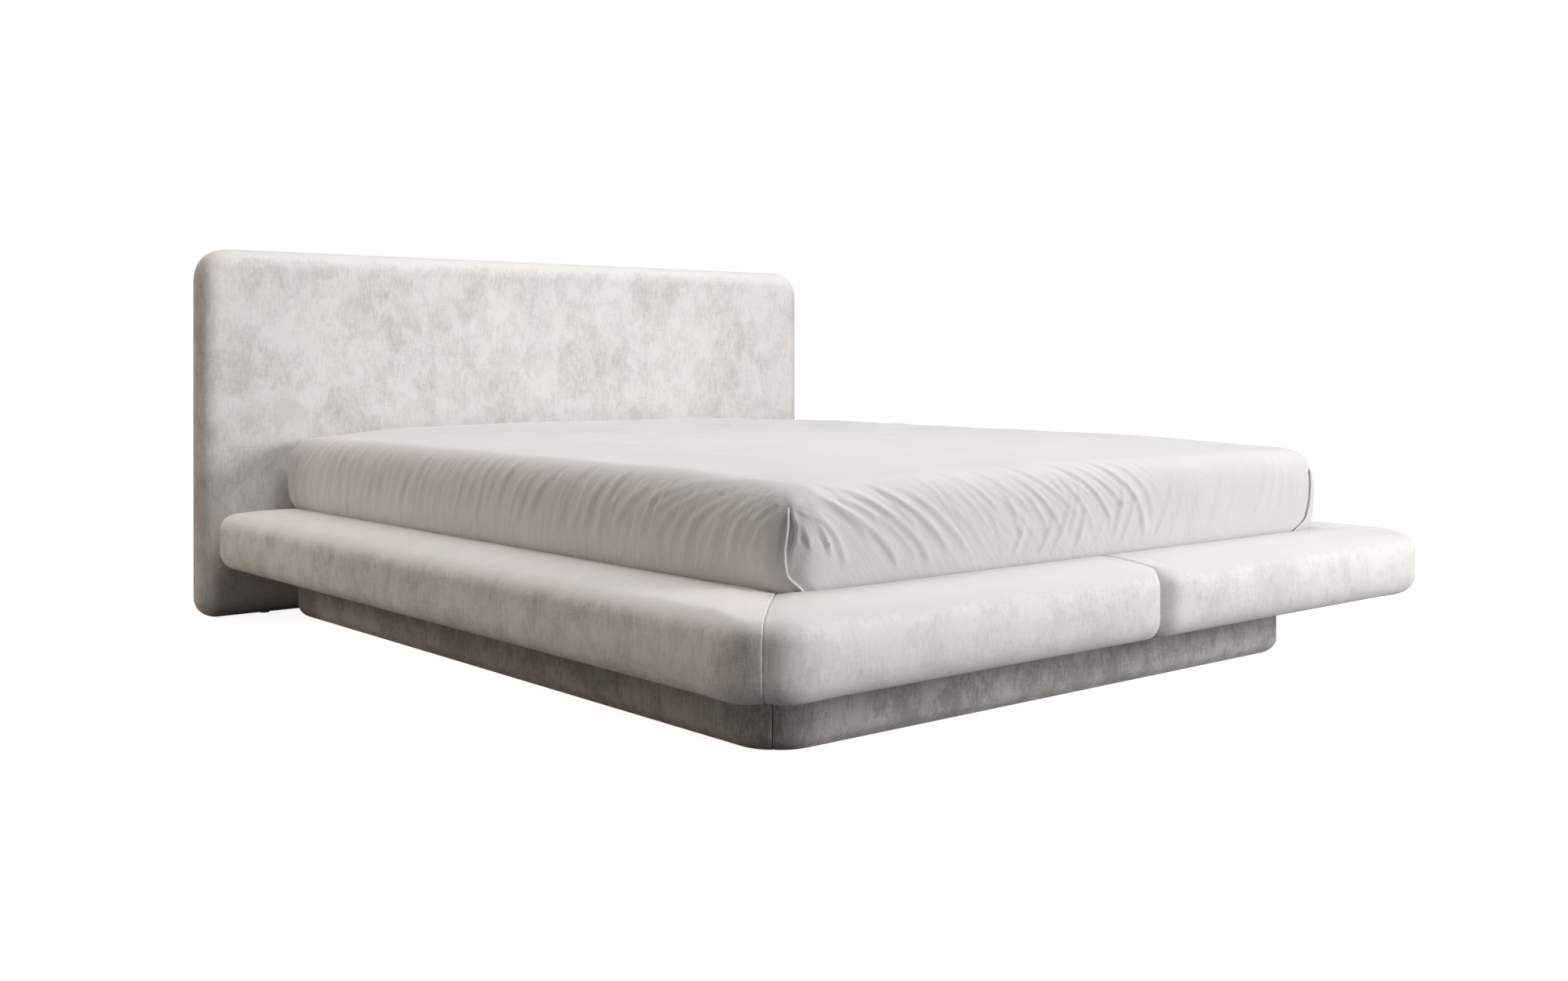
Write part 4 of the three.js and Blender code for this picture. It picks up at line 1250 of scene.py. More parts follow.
LEANING_FOLDS = (
    (-0.262, -0.036, 1.1, 0.0065, 0.80, 0.110, 0.208),
    (-0.232, -0.030, 1.1, 0.0060, 0.50, 0.130, 0.206),
    (-0.190, -0.052, 1.1, 0.0068, 0.85, 0.105, 0.208),
    (-0.150, -0.062, 1.2, 0.0068, 0.90, 0.085, 0.204),
    (-0.112, -0.048, 1.1, 0.0065, 0.60, 0.060, 0.180),
    (-0.086, -0.030, 1.1, 0.0070, 0.95, 0.105, 0.206),
    (-0.040, -0.055, 1.2, 0.0065, 0.55, 0.120, 0.208),
    (0.022, -0.040, 1.1, 0.0068, 0.90, 0.070, 0.190),
    (0.050, -0.052, 1.2, 0.0065, 0.80, 0.080, 0.205),
    (0.088, -0.035, 1.1, 0.0065, 0.45, 0.120, 0.206),
    (0.156, -0.075, 1.2, 0.0070, 0.70, 0.060, 0.200),
    (0.205, -0.060, 1.2, 0.0080, 0.35, 0.080, 0.200),
    (0.262, -0.045, 1.2, 0.0080, 0.25, 0.090, 0.200),
    (0.335, -0.055, 1.3, 0.0095, 0.40, 0.070, 0.200),
    (0.395, -0.060, 1.3, 0.0100, 0.35, 0.060, 0.200),
    (0.495, -0.085, 1.3, 0.0100, 0.50, 0.030, 0.190),
    (0.545, -0.070, 1.3, 0.0100, 0.55, 0.010, 0.175),
    (0.590, -0.045, 1.4, 0.0095, 0.50, 0.000, 0.170),
    (0.630, -0.020, 1.4, 0.0090, 0.35, 0.010, 0.160),
)


def drawn_folds(place, run, folds, depth):
    """Sum of the folds of one of the lists above."""
    total = np.zeros(len(place))
    for foot, reach, bend, width, share, first, last in folds:
        fall = np.clip((run - first) / (last - first), 0.0, 1.0)
        centre = foot - reach * (1 - fall) ** bend
        window = smooth_step((run - first) / 0.05) * smooth_step((last - run) / 0.03)
        total += depth * share * fold_shape((place - centre) / fold_width(width, run, fall)) * window
    return total


def foot_folds(x, run, depth):
    """Folds that fan out from the near top corner, ones that cross them, and faint ones beyond."""

    def faint(share, source):
        foot = 0.30 + 0.44 * share + source.normal() * 0.015
        reach = -source.uniform(0.02, 0.09)
        size = depth * source.uniform(0.10, 0.26)
        return foot, reach, 1.3, source.uniform(0.012, 0.020), size, source.uniform(0.0, 0.05), 0.205

    def fine(share, source):
        foot = -0.72 + 0.92 * share + source.normal() * 0.012
        size = depth * source.uniform(0.10, 0.30)
        reach = source.uniform(0.05, 0.16)
        first = source.uniform(-0.01, 0.09)
        width = source.uniform(0.0052, 0.0070)
        return foot, reach, 1.3, width, size, first, first + source.uniform(0.07, 0.13)

    total = drawn_folds(x, run, FAN_FOLDS + SWEEPING_FOLDS, depth)
    total += drawn_folds(x, run, LEANING_FOLDS, depth * 0.9)
    total += strokes(x, run, count=9, seed=9, shape=faint)
    return total + strokes(x, run, count=60, seed=31, shape=fine)


# Hoops from the near top corner round into the creases of the left side: how far from the
# corner each comes down, the distance down at which it leaves it, and its height as a share of the deepest
CORNER_HOOPS = (
    (0.085, 0.058, 0.40),
    (0.118, 0.047, 0.55),
    (0.150, 0.040, 0.45),
    (0.186, 0.032, 0.60),
    (0.228, 0.026, 0.42),
    (0.268, 0.020, 0.55),
    (0.315, 0.014, 0.40),
    (0.352, 0.010, 0.50),
    (0.400, 0.004, 0.38),
    (0.452, 0.000, 0.34),
)
HOOP_END = 0.195
HOOP_BEND = 2.6


def side_creases(y, run, depth):
    """Close creases down a long side, drawn towards the foot at their tops, and hoops round a near corner."""

    def fine(share, source):
        foot = -0.86 + 1.90 * share + source.normal() * 0.012
        reach = source.uniform(0.05, 0.12) * (1 - 0.5 * share)
        size = depth * source.uniform(0.20, 0.70)
        first = source.uniform(0.0, 0.07)
        return foot, reach, 1.3, source.uniform(0.0070, 0.0115), size, first, source.uniform(0.15, 0.235)

    def short(share, source):
        foot = -0.88 + 1.92 * share + source.normal() * 0.02
        size = depth * source.uniform(0.15, 0.50)
        first = source.uniform(0.03, 0.13)
        reach = source.uniform(0.02, 0.06)
        width = source.uniform(0.0060, 0.0085)
        return foot, reach, 1.2, width, size, first, first + 0.08

    near_corner = smooth_step((MATTRESS_LOW[1] + 0.44 - y) / 0.20) * smooth_step((0.125 - run) / 0.06)
    total = strokes(y, run, count=84, seed=17, shape=fine) + strokes(y, run, count=70, seed=19, shape=short)
    total *= 1 - 0.85 * near_corner
    for distance, top, size in CORNER_HOOPS:
        reach = distance * 0.92
        fall = np.clip((run - top) / (HOOP_END - top), 0.0, 1.0)
        centre = MATTRESS_LOW[1] + distance - reach * (1 - fall) ** HOOP_BEND
        slope = reach * HOOP_BEND * (1 - fall) ** (HOOP_BEND - 1) / (HOOP_END - top)
        window = smooth_step((run - top) / 0.02) * smooth_step((HOOP_END - run) / 0.05)
        total += depth * size * fold_shape((y - centre) / np.hypot(1, slope) / 0.0080) * window
    return total


# Ridges of slack cloth on top: their two ends, half width and height
TOP_RIDGES = (
    (0.34, 0.05, 0.67, 0.17, 0.016, 0.0066),
    (0.43, 0.14, 0.71, 0.25, 0.018, 0.0056),
    (0.50, 0.02, 0.70, 0.06, 0.014, 0.0040),
    (0.16, 0.30, 0.29, 0.61, 0.016, 0.0060),
    (0.17, 0.31, -0.02, 0.36, 0.014, 0.0055),
    (0.14, 0.33, -0.12, 0.52, 0.015, 0.0030),
    (0.18, 0.30, 0.42, 0.36, 0.016, 0.0035),
    (-0.32, 0.22, 0.00, 0.35, 0.018, 0.0035),
    (-0.44, 0.28, -0.08, 0.46, 0.018, 0.0030),
    (-0.60, 0.05, -0.30, 0.20, 0.018, 0.0025),
    (-0.64, 0.55, -0.30, 0.74, 0.016, 0.0030),
    (-0.20, 0.66, 0.12, 0.84, 0.016, 0.0030),
    (-0.58, -0.34, -0.30, -0.26, 0.020, 0.0018),
)

# One broad rise of slack cloth: its middle, reach and height
SLACK = (0.60, 0.42, 0.24, 0.0050)


def top_creases(x, y):
    """Ridges of slack cloth, one broad rise near the right edge, and a few long faint creases."""
    source = np.random.default_rng(23)
    total = SLACK[3] * np.exp(-((x - SLACK[0]) ** 2 + (y - SLACK[1]) ** 2) / SLACK[2] ** 2)
    for x0, y0, x1, y1, width, height in TOP_RIDGES:
        length = math.hypot(x1 - x0, y1 - y0)
        along = ((x - x0) * (x1 - x0) + (y - y0) * (y1 - y0)) / length
        across = ((y - y0) * (x1 - x0) - (x - x0) * (y1 - y0)) / length
        share = along / length
        bowed = across + 0.10 * length * share * (1 - share)
        window = smooth_step(share / 0.35) * smooth_step((1 - share) / 0.35)
        total += height * fold_shape(bowed / width) * window
    for _ in range(14):
        middle_x = source.uniform(-0.6, 0.6)
        middle_y = source.uniform(-0.3, 0.9)
        angle = source.normal() * 0.35
        along = (x - middle_x) * math.cos(angle) + (y - middle_y) * math.sin(angle)
        across = (y - middle_y) * math.cos(angle) - (x - middle_x) * math.sin(angle) + 0.25 * along * along
        total += source.uniform(0.0010, 0.0026) * fold_shape(across / 0.022) * bell(along, 0.22)
    return total


# Corner seams of the sheet: how far down they start, and how they wander round the corner
SEAM_START = 0.079
SEAM_DRIFT = math.radians(22)
SEAM_BOW = math.radians(3.5)
SEAM_BOW_PLACE = 0.157
SEAM_BOW_REACH = 0.032
RIGHT_SEAM_LEAD = math.radians(48)
RIGHT_SEAM_DRIFT = math.radians(12)

# Relief beside them: depths of the pockets, height of the ridge along a pocket's outer edge, of the hood of
# cloth over the seam's start and of the soft puffs further off, and the slit at the right of the foot
SEAM_POCKETS = (0.0085, 0.0062)
POCKET_RIDGE = 0.0018
SEAM_HOOD = 0.0028
SEAM_PUFF = 0.0022
RIGHT_SLIT = 0.014


def seam_turn(run, right):
    """Angle by which a corner seam has wandered towards the foot side, by the distance down.

    The one at the right of the foot lies further round."""
    bow = SEAM_BOW * bell(run - SEAM_BOW_PLACE, SEAM_BOW_REACH)
    wander = SEAM_DRIFT * smooth_step((run - 0.187) / 0.042) - bow
    return wander + right * (RIGHT_SEAM_LEAD + RIGHT_SEAM_DRIFT * smooth_step((run - SEAM_START) / 0.10))


def seam_distance(plan, out, run):
    """Distance of points from the nearest corner seam, across it and round the mattress."""
    from_foot = np.arctan2(np.abs(out[:, 0]), np.abs(out[:, 1]))
    turned = seam_turn(run, (plan[:, 0] > 0) & (plan[:, 1] < 0))
    round_corner = (from_foot - math.pi / 4 + turned) * MATTRESS_CORNER
    straight = np.maximum(MATTRESS_HIGH[0] - MATTRESS_CORNER - np.abs(plan[:, 0]), 0.0)
    return round_corner - straight * (np.abs(out[:, 1]) > 0.999)


def pocket(across, width, slope):
    """A hollow from 0 to a width on one side of a seam, with a ridge along its outer edge."""
    share = smooth_step(across / 0.0025) * smooth_step((width - across) / slope)
    ridge = bell(across - width - 0.0035, 0.0040)
    return share, ridge


def seam_relief(across, run, right):
    """Depth of the pockets on either side of a corner seam, and of the slit at the right of the foot."""
    down = run - SEAM_START
    opened = smooth_step((down + 0.003) / 0.007)
    fading = 1 - smooth_step((down - 0.045) / 0.045)
    closing = 0.0070 * smooth_step((down - 0.050) / 0.040)
    width = 0.0030 + 0.0095 * smooth_step((down + 0.005) / 0.040) - closing
    share, ridge = pocket(-across, width, 0.0030)
    ridge = POCKET_RIDGE * ridge * smooth_step((down + 0.014) / 0.014)
    ahead = (SEAM_POCKETS[0] * share * opened - ridge) * fading
    width = 0.0030 + 0.0130 * smooth_step((down + 0.005) / 0.045)
    share, _ = pocket(across, width, 0.0070)
    behind = SEAM_POCKETS[1] * share * opened * (1 - smooth_step((down - 0.060) / 0.050))
    hood = SEAM_HOOD * bell(across + 0.010, 0.013) * bell(down + 0.010, 0.011)
    slit = RIGHT_SLIT * bell(across + 0.0050, 0.0030) * smooth_step(down / 0.02)
    return (ahead + behind - hood) * (1 - right) + right * slit


SHEET_PITCH = (0.0125, 0.0165)
PIPING = 0.0019
PIPING_SIDES = 8

# Parts of an edge along the foot, from the right: where they begin, and their number
FOOT_PARTS = ((0.66, 8), (0.32, 2), (-1.0, 3))

# The turned hem: how far in each row lies, and its rise
HEM_ROWS = ((0.0012, -0.0004), (0.0016, 0.006))


class Sheet:
    """The fitted sheet's surface, worked out point by point."""

    def __init__(self, settings):
        self.settings = settings
        self.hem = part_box("fitted_sheet")[0][2]
        self.start, self.profile = mattress_profile(settings, SHEET_OUTSIDE, self.hem)
        self.steps = np.array(self.profile)
        lengths = np.linalg.norm(np.diff(self.steps, axis=0), axis=1)
        self.travel = np.concatenate([[0.0], np.cumsum(lengths)])
        slope = np.gradient(self.steps, axis=0)
        self.slope = slope / np.linalg.norm(slope, axis=1, keepdims=True)

    def normals(self, out, level):
        side = np.column_stack([out * -self.slope[level, 1][:, None], self.slope[level, 0]])
        side[level == 0] = (0.0, 0.0, 1.0)
        return side / np.maximum(np.linalg.norm(side, axis=1, keepdims=True), 1e-9)

    def raised(self, plan, level, run, out):
        """How far each point stands out from the smooth shape."""
        depth = self.settings.fold_depth
        at_foot = np.clip(-out[:, 1], 0, 1) ** 2
        at_side = np.clip(np.abs(out[:, 0]), 0, 1) ** 2
        across = seam_distance(plan, out, run)
        from_seam = smooth_step((np.abs(across) - 0.006) / 0.016)
        from_seam = np.where((level > 0) & (run > SEAM_START - 0.02), from_seam, 1.0)
        amount = at_foot * foot_folds(plan[:, 0], run, depth) + at_side * side_creases(plan[:, 1], run, depth)
        amount *= from_seam
        inner = (level == 0) * smooth_step((-run - 0.02) / 0.06)
        amount += inner * top_creases(plan[:, 0], plan[:, 1])
        amount += 0.0012 + 0.0012 * smooth_noise(np.column_stack([plan, run]), 0.30, 3)
        cornered = (2 * np.abs(out[:, 0] * out[:, 1])) ** 0.6 * (level > 0)
        puff = SEAM_PUFF * cornered * bell(np.abs(across) - 0.036, 0.016)
        relief = seam_relief(across, run, (plan[:, 0] > 0) & (plan[:, 1] < 0)) * (level > 0)
        return np.maximum(amount, -0.0002) + puff * smooth_step((run - SEAM_START) / 0.03) - relief

    def seam_path(self, hand_x, hand_y):
        """The line of one corner seam, from its top to the hem."""
        level = np.arange(len(self.profile))
        run = self.travel
        keep = run > SEAM_START - 0.004
        angle = math.pi / 4 - seam_turn(run, hand_x > 0 > hand_y)
        straight = np.minimum(angle, 0.0) * MATTRESS_CORNER
        angle = np.maximum(angle, 0.0)
        out = np.column_stack([hand_x * np.sin(angle), hand_y * np.cos(angle)])
        centre_x = hand_x * (MATTRESS_HIGH[0] - MATTRESS_CORNER)
        centre_y = (MATTRESS_LOW[1] + MATTRESS_CORNER) if hand_y < 0 else (MATTRESS_HIGH[1] - MATTRESS_CORNER)
        reach = MATTRESS_CORNER - self.start + self.steps[:, 0]
        plan = np.array([centre_x, centre_y]) + out * (reach - corner_pull(out, run))[:, None]
        plan[:, 0] += hand_x * straight
        height = self.steps[:, 1] + fullness(plan, run, self.settings, self.start)
        points = np.column_stack([plan, height - corner_slump(plan, run)])
        stand = 0.0022 * smooth_step((run - SEAM_START + 0.004) / 0.008) - 0.0008
        points += self.normals(out, level) * (self.raised(plan, level, run, out) + stand)[:, None]
        return points[keep]


class BED_OT_sheet(bpy.types.Operator):
    """Build the fitted sheet over the mattress"""

    bl_idname = "bed.sheet"
    bl_label = "Fitted sheet"

    def execute(self, context):
        settings = context.scene.bed_mattress
        form = Sheet(settings)
        radius = MATTRESS_CORNER - form.start
        xs = grid_lines(MATTRESS_LOW[0] + form.start, MATTRESS_HIGH[0] - form.start, radius, SHEET_PITCH[0])
        ys = grid_lines(MATTRESS_LOW[1] + form.start, MATTRESS_HIGH[1] - form.start, radius, SHEET_PITCH[1])

        def parts(x, y):
            if y < ys[0] + radius / 2 and abs(x) < xs[-1] - radius:
                return next(count for place, count in FOOT_PARTS if x > place)
            if y < ys[-1] - radius and y > ys[0] + radius:
                return 3 if x < 0 else 1
            if y < ys[0] + radius:
                return 4
            return 1

        plan, level, faces, rim = boxed(xs, ys, radius, form.profile, parts)
        inset = box_inset(plan[:, 0], plan[:, 1], MATTRESS_LOW, MATTRESS_HIGH, MATTRESS_CORNER) - form.start
        run = np.where(level == 0, -np.maximum(inset, 0.0), form.travel[level])
        out = corner_directions(plan)
        inside = np.linalg.norm(out, axis=1) < 0.5
        out[inside] = nearest_side(plan[inside])
        plan = plan - out * corner_pull(out, run)[:, None]
        height = form.steps[level, 1] + fullness(plan, run, settings, form.start)
        points = np.column_stack([plan, height - corner_slump(plan, run)])
        points += form.normals(out, level) * form.raised(plan, level, run, out)[:, None]
        points, faces = turned_hem(points, faces, rim, out[rim])
        sheet = new_object("fitted_sheet_cloth", points, faces)
        finished(sheet, cotton_material(settings))
        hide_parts("fitted_sheet")
        pipes = self.piping(form, settings)
        return {"FINISHED"}

    def piping(self, form, settings):
        """A round piping in each corner seam."""
        finish = piping_material(settings)
        pipes = []
        for name, hand_x, hand_y in (
            ("near_left", -1, -1), ("near_right", 1, -1), ("far_left", -1, 1), ("far_right", 1, 1),
        ):
            rings = tube_rings(form.seam_path(hand_x, hand_y), PIPING, PIPING_SIDES)
            points, faces = capped_loft(rings)
            pipe = new_object(f"sheet_piping_{name}", points, faces)
            pipes.append(finished(pipe, finish))
        return pipes


def nearest_side(plan):
    """Unit directions from points on the top towards the side that they are nearest to."""
    y = plan[:, 1]
    to_side = (MATTRESS_HIGH[0] - np.abs(plan[:, 0]), y - MATTRESS_LOW[1], MATTRESS_HIGH[1] - y)
    nearest = np.argmin(np.column_stack(to_side), axis=1)
    sideways = np.column_stack([np.sign(plan[:, 0]), np.zeros(len(plan))])
    ahead = np.zeros((len(plan), 2))
    ahead[:, 1] = np.where(nearest == 1, -1.0, 1.0)
    return np.where((nearest == 0)[:, None], sideways, ahead)


def turned_hem(points, faces, rim, out):
    """Turns the sheet's lower edge in and up behind itself."""
    edge = points[rim]
    count = len(rim)
    inward = np.column_stack([out, np.zeros(count)])
    turned = [edge - inward * depth + (0, 0, rise) for depth, rise in HEM_ROWS]
    base = len(points)
    upper = list(rim)
    for step in range(len(turned)):
        lower = list(range(base + step * count, base + (step + 1) * count))
        for k in range(count):
            following = (k + 1) % count
            faces.append((upper[k], lower[k], lower[following], upper[following]))
        upper = lower
    return np.concatenate([points, *turned]), faces


def tube_rings(path, radius, sides):
    """Loops of a thin tube along a path."""
    ahead = np.gradient(path, axis=0)
    ahead /= np.linalg.norm(ahead, axis=1, keepdims=True)
    leaning = (path[0] - path.mean(axis=0)) + (1.0, 0.3, 0.0)
    side = np.cross(ahead, np.cross(path[-1] - path[0], leaning))
    side /= np.linalg.norm(side, axis=1, keepdims=True)
    other = np.cross(ahead, side)
    turn = np.linspace(0, 2 * math.pi, sides, endpoint=False)
    spokes = side[:, None] * np.cos(turn)[None, :, None] + other[:, None] * np.sin(turn)[None, :, None]
    return path[:, None] + spokes * radius


# Rows of stitches and staples

# Points of a cover's first loop that its seam's stitches follow
PAD_SEAM = slice(8, 33)
PLINTH_COVER_SEAM = slice(0, 12)
STAPLE_SECTION = (0.0012, 0.0010)


def row_tree():
    """Round-ended bars set out evenly along a line, each turned a little at random."""
    tree = bpy.data.node_groups.new("bed_row", "GeometryNodeTree")
    for name, kind, value in (
        ("Line", "NodeSocketGeometry", None),
        ("Spacing", "NodeSocketFloat", 0.006),
        ("Size", "NodeSocketVector", (0.003, 0.001, 0.001)),
        ("Across", "NodeSocketVector", (0.0, 0.0, 0.0)),
        ("Along", "NodeSocketFloat", 1.0),
        ("Unevenness", "NodeSocketFloat", 0.1),
        ("Seed", "NodeSocketInt", 1),
        ("Material", "NodeSocketMaterial", None),
    ):
        socket = tree.interface.new_socket(name, in_out="INPUT", socket_type=kind)
        if value is not None:
            socket.default_value = value
    tree.interface.new_socket("Row", in_out="OUTPUT", socket_type="NodeSocketGeometry")
    given = {socket.name: Field(tree, socket) for socket in tree.nodes.new("NodeGroupInput").outputs}
    line = made(tree, "GeometryNodeMeshToCurve", (), {"Mesh": given["Line"]}, 0)
    places = {"Curve": line, "Length": given["Spacing"]}
    points = made(tree, "GeometryNodeResampleCurve", {"mode": "LENGTH"}, places, 0)
    ahead = made(tree, "GeometryNodeInputTangent")
    ahead = made(tree, "ShaderNodeVectorMath", {"operation": "SCALE"}, {0: ahead, "Scale": given["Along"]}, 0)
    uneven = {"Min": (-1.0, -1.0, -1.0), "Max": (1.0, 1.0, 1.0), "Seed": given["Seed"]}
    uneven = made(tree, "FunctionNodeRandomValue", {"data_type": "FLOAT_VECTOR"}, uneven, 0)
    swayed = {0: uneven, "Scale": given["Unevenness"]}
    uneven = made(tree, "ShaderNodeVectorMath", {"operation": "SCALE"}, swayed, 0)
    way = made(tree, "ShaderNodeVectorMath", {"operation": "ADD"}, {0: ahead, 1: given["Across"]}, 0)
    way = made(tree, "ShaderNodeVectorMath", {"operation": "ADD"}, {0: way, 1: uneven}, 0)
    turn = made(tree, "FunctionNodeAlignRotationToVector", {"axis": "X"}, {"Vector": way}, 0)
    bar = made(tree, "GeometryNodeMeshUVSphere", (), {"Segments": 10, "Rings": 8, "Radius": 0.5}, 0)
    laid = {"Points": points, "Instance": bar, "Rotation": turn, "Scale": given["Size"]}
    bars = made(tree, "GeometryNodeInstanceOnPoints", (), laid, 0)
    whole = made(tree, "GeometryNodeRealizeInstances", (), {"Geometry": bars}, 0)
    ready = made(tree, "GeometryNodeSetMaterial", (), {"Geometry": whole, "Material": given["Material"]}, 0)
    tree.links.new(ready.socket, tree.nodes.new("NodeGroupOutput").inputs[0])
    return tree


def row_along(name, path, tree, material, slot_name, **inputs):
    """A row of bars along a path, as a plain mesh."""
    mesh = bpy.data.meshes.new(name)
    mesh.from_pydata([tuple(p) for p in path], [(i, i + 1) for i in range(len(path) - 1)], [])
    thing = bpy.data.objects.new(name, mesh)
    bpy.context.scene.collection.objects.link(thing)
    modifier = thing.modifiers.new("row", "NODES")
    modifier.node_group = tree
    for item in tree.interface.items_tree:
        if item.name in inputs:
            modifier[item.identifier] = inputs[item.name]
        elif item.name == "Material":
            modifier[item.identifier] = material
    settle(thing)
    if not thing.data.polygons:
        raise RuntimeError(f"{name} is empty")
    thing.data.shade_smooth()
    return finished(thing, material)


class BED_OT_rows(bpy.types.Operator):
    """Stitch the mitre seams and staple the lining of the headboard"""

    bl_idname = "bed.rows"
    bl_label = "Stitches and staples"

    def execute(self, context):
        scene = context.scene
        settings = scene.bed_rows
        tree = row_tree()
        thread = thread_material()
        size = (settings.stitch, settings.thread, settings.thread)
        pads = pad_rings(True, scene.bed_pads, scene.bed_mattress)[0, PAD_SEAM]
        plinth = plinth_rings(False)[0, PLINTH_COVER_SEAM]
        for seed, (part, path) in enumerate((("platform", pads), ("plinth", plinth))):
            for hand, line, sign in (("left", path, 1.0), ("right", mirrored(path), -1.0)):
                row_along(
                    f"{part}_stitches_{hand}", line, tree, thread, "velvet", Spacing=settings.spacing,
                    Size=size, Across=(sign, -1.0, 0.0), Along=0.3, Unevenness=0.12, Seed=seed + 5,
                )
        low = np.array(PANEL_LOW) + settings.staple_inset
        high = np.array(PANEL_HIGH) - settings.staple_inset
        back = PANEL_HIGH[1] + 0.0002
        loop = [(low[0], back, low[2]), (high[0], back, low[2])]
        loop += [(high[0], back, high[2]), (low[0], back, high[2]), (low[0], back, low[2] + 0.02)]
        row_along(
            "headboard_staples", loop, tree, steel_material(), "zinc_steel", Spacing=settings.staple_spacing,
            Size=(settings.staple, *STAPLE_SECTION), Along=1.0, Unevenness=0.05, Seed=9,
        )
        return {"FINISHED"}


# Hard parts

PINE = ((0.62, 0.46, 0.28), (0.46, 0.31, 0.17))


def finish_of(name):
    if name.startswith(("headboard_facing", "plinth_board", "slat")):
        return "plywood"
    if name.startswith("headboard_glide"):
        return "glide_plastic"
    if name.startswith(("headboard_bolt", "joining_bolt", "corner_angle", "foot_joining_plate")):
        return "zinc_steel"
    return "pine"


class BED_OT_hard_parts(bpy.types.Operator):
    """Give the timber, steel and plastic parts their finishes"""

    bl_idname = "bed.hard_parts"
    bl_label = "Hard parts"

    def execute(self, context):
        made_up = {
            "pine": wood_material("bed_pine", *PINE, 0),
            "pine_lengthways": wood_material("bed_pine_lengthways", *PINE, 1),
            "pine_upright": wood_material("bed_pine_upright", *PINE, 2),
            "plywood": plywood_material(),
            "zinc_steel": steel_material(),
            "glide_plastic": plastic_material(),
        }
        for name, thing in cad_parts.items():
            kind = finish_of(name)
            if kind == "pine":
                low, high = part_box(name)
                long_axis = int(np.argmax([high[i] - low[i] for i in range(3)]))
                kind = ("pine", "pine_lengthways", "pine_upright")[long_axis]
            for slot in thing.material_slots:
                slot.link = "OBJECT"
                slot.material = made_up[kind]
        return {"FINISHED"}


# Stage

CAMERA_PLACE = (-2.430, -2.902, 0.657)
CAMERA_SHIFT = (0.00857, -0.08444)
SENSOR_WIDTH = 36.0
VIEW_END = 60.0
FLOOR_HALF = 14.0
FLOOR_GLOW = 0.88
LAMP_AIM = (0.0, -0.2, 0.2)
WHITE = (1.0, 1.0, 1.0)
NEUTRAL = (1.0, 0.995, 0.99)
WARM = (1.0, 0.85, 0.71)

# Lamps: name, place, width, share of the key light's power, colour
LAMPS = (
    ("key", (2.5, -5.4, 1.8), 1.7, 1.0, NEUTRAL),
    ("low", (3.3, -3.6, 0.7), 1.4, 0.10, NEUTRAL),
    ("overhead", (0.1, -0.5, 3.6), 3.0, 0.46, WHITE),
    ("window", (-3.2, 3.4, 1.5), 1.0, 0.16, WARM),
    ("fill", (-4.8, 0.6, 1.2), 2.2, 0.13, WARM),
)


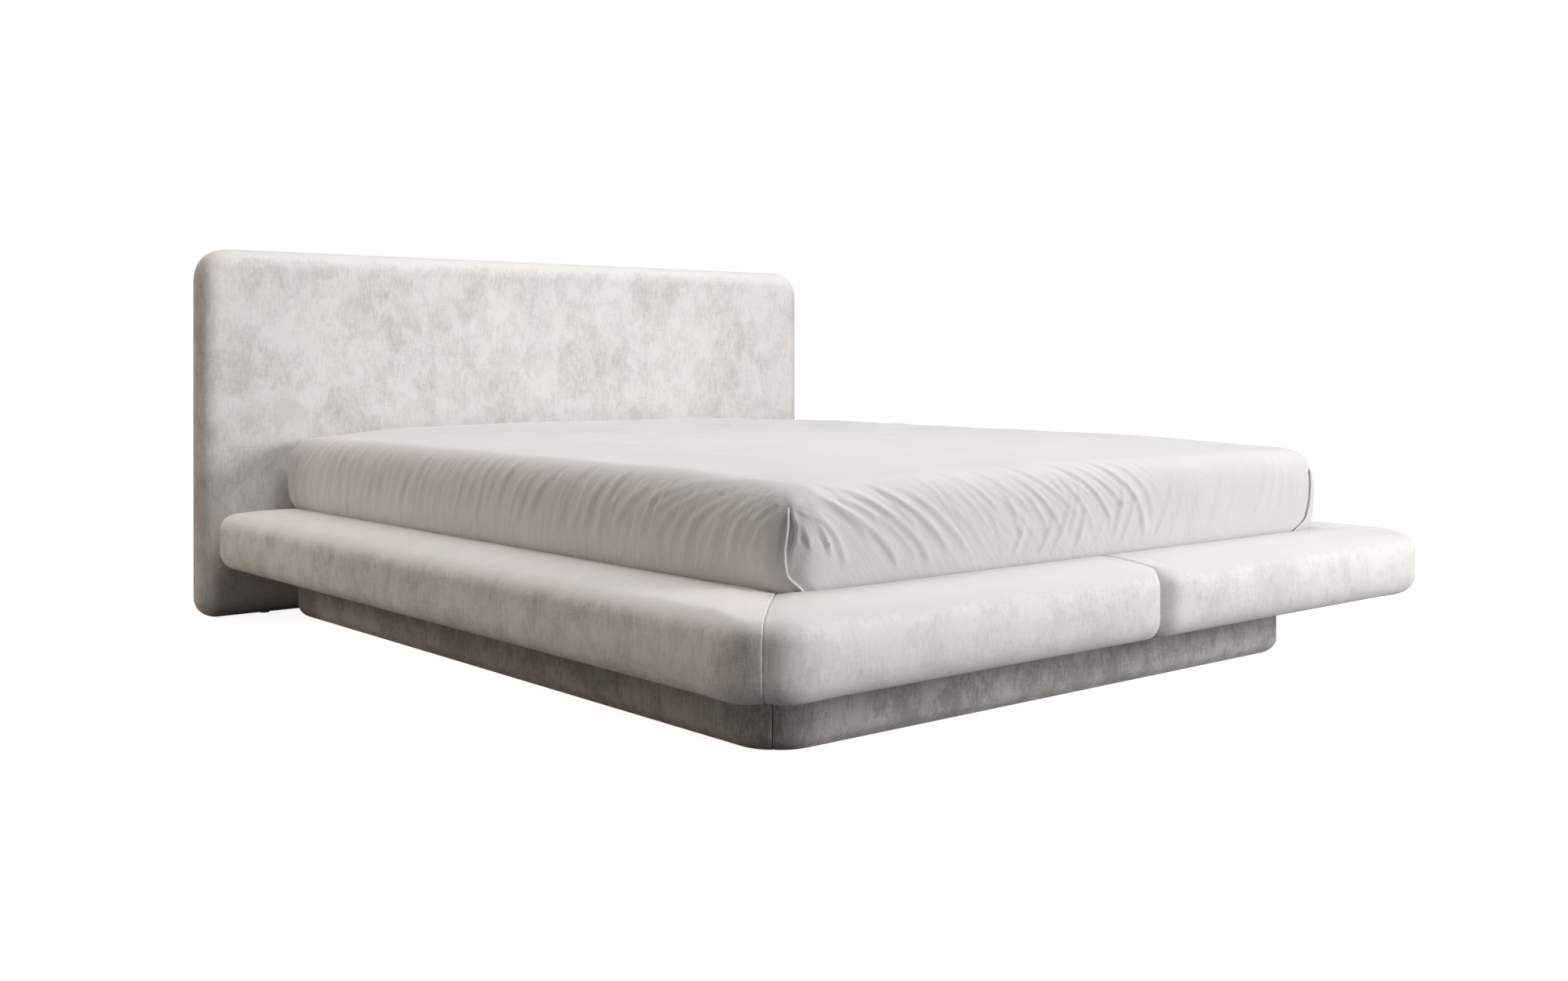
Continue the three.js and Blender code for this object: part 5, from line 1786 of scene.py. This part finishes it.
class BED_OT_stage(bpy.types.Operator):
    """Set up the floor, the lights and the camera"""

    bl_idname = "bed.stage"
    bl_label = "Stage"

    def execute(self, context):
        scene = context.scene
        settings = scene.bed_stage
        scene.view_settings.view_transform = "Standard"
        self.floor()
        self.world(scene, settings)
        for name, place, size, share, paint in LAMPS:
            self.lamp(name, place, size, settings.key * share, paint)
        camera = bpy.data.cameras.new("camera")
        camera.lens = settings.lens
        camera.sensor_width = SENSOR_WIDTH
        camera.sensor_fit = "HORIZONTAL"
        camera.shift_x, camera.shift_y = CAMERA_SHIFT
        camera.clip_end = VIEW_END
        holder = bpy.data.objects.new("camera", camera)
        holder.location = CAMERA_PLACE
        holder.rotation_euler = (math.radians(90), 0.0, settings.turn)
        scene.collection.objects.link(holder)
        scene.camera = holder
        return {"FINISHED"}

    def floor(self):
        size = FLOOR_HALF
        corners = [(-size, -size, 0), (size, -size, 0), (size, size, 0), (-size, size, 0)]
        thing = new_object("floor", corners, [(0, 1, 2, 3)])
        material = new_material("floor")
        tree = material.node_tree
        tree.nodes.remove(tree.nodes["Principled BSDF"])
        seen = made(tree, "ShaderNodeLightPath", output="Is Camera Ray")
        cloudy = noise(object_point(material), 0.7, 2.0)
        pale = cloudy.mixed((0.93, 0.93, 0.93), (0.91, 0.91, 0.91))
        lit = made(tree, "ShaderNodeBsdfDiffuse", (), {"Color": seen.mixed((0.16, 0.16, 0.16), pale)}, "BSDF")
        shining = {"Color": WHITE, "Strength": seen * FLOOR_GLOW}
        glow = made(tree, "ShaderNodeEmission", (), shining, "Emission")
        whole = made(tree, "ShaderNodeAddShader", (), {0: lit, 1: glow}, 0)
        tree.links.new(whole.socket, tree.nodes["Material Output"].inputs["Surface"])
        thing.data.materials.append(material)

    def world(self, scene, settings):
        world = bpy.data.worlds.new("studio")
        world.use_nodes = True
        tree = world.node_tree
        seen = made(tree, "ShaderNodeLightPath", output="Is Camera Ray")
        ray = made(tree, "ShaderNodeTexCoord", output="Generated")
        right = part_of(ray, "X").spread(-1.0, 1.0)
        tint = right.mixed((0.60, 0.57, 0.54), WHITE)
        sky = made(tree, "ShaderNodeBackground", (), {"Color": tint, "Strength": settings.sky}, 0)
        white = made(tree, "ShaderNodeBackground", (), {"Color": WHITE, "Strength": 1.0}, 0)
        both = made(tree, "ShaderNodeMixShader", (), {0: seen, 1: sky, 2: white}, 0)
        tree.links.new(both.socket, tree.nodes["World Output"].inputs["Surface"])
        scene.world = world

    def lamp(self, name, place, size, power, colour):
        light = bpy.data.lights.new(name, "AREA")
        light.shape = "SQUARE"
        light.size = size
        light.energy = power
        light.color = colour
        thing = bpy.data.objects.new(name, light)
        thing.location = place
        aim = Vector(LAMP_AIM) - Vector(place)
        thing.rotation_euler = aim.to_track_quat("-Z", "Y").to_euler()
        bpy.context.scene.collection.objects.link(thing)


class BED_PT_panel(bpy.types.Panel):
    """Lists what builds the bed"""

    bl_idname = "BED_PT_panel"
    bl_label = "Bed"
    bl_space_type = "VIEW_3D"
    bl_region_type = "UI"
    bl_category = "Bed"

    def draw(self, context):
        for operator in OPERATORS:
            self.layout.operator(operator.bl_idname)


SETTINGS = {
    "bed_velvet": BedVelvetSettings,
    "bed_pads": BedPadSettings,
    "bed_mattress": BedMattressSettings,
    "bed_rows": BedRowSettings,
    "bed_stage": BedStageSettings,
}
OPERATORS = (
    BED_OT_platform_pads, BED_OT_plinth_covers, BED_OT_headboard, BED_OT_mattress, BED_OT_sheet,
    BED_OT_rows, BED_OT_hard_parts, BED_OT_stage,
)


def register():
    for group in SETTINGS.values():
        bpy.utils.register_class(group)
    for name, group in SETTINGS.items():
        setattr(bpy.types.Scene, name, PointerProperty(type=group))
    for operator in OPERATORS:
        bpy.utils.register_class(operator)
    bpy.utils.register_class(BED_PT_panel)


def unregister():
    bpy.utils.unregister_class(BED_PT_panel)
    for operator in reversed(OPERATORS):
        bpy.utils.unregister_class(operator)
    for name in SETTINGS:
        delattr(bpy.types.Scene, name)
    for group in reversed(list(SETTINGS.values())):
        bpy.utils.unregister_class(group)


def main():
    register()
    bpy.ops.bed.platform_pads()
    bpy.ops.bed.plinth_covers()
    bpy.ops.bed.headboard()
    bpy.ops.bed.mattress()
    bpy.ops.bed.sheet()
    bpy.ops.bed.rows()
    bpy.ops.bed.hard_parts()
    bpy.ops.bed.stage()


if __name__ == "__main__":
    main()
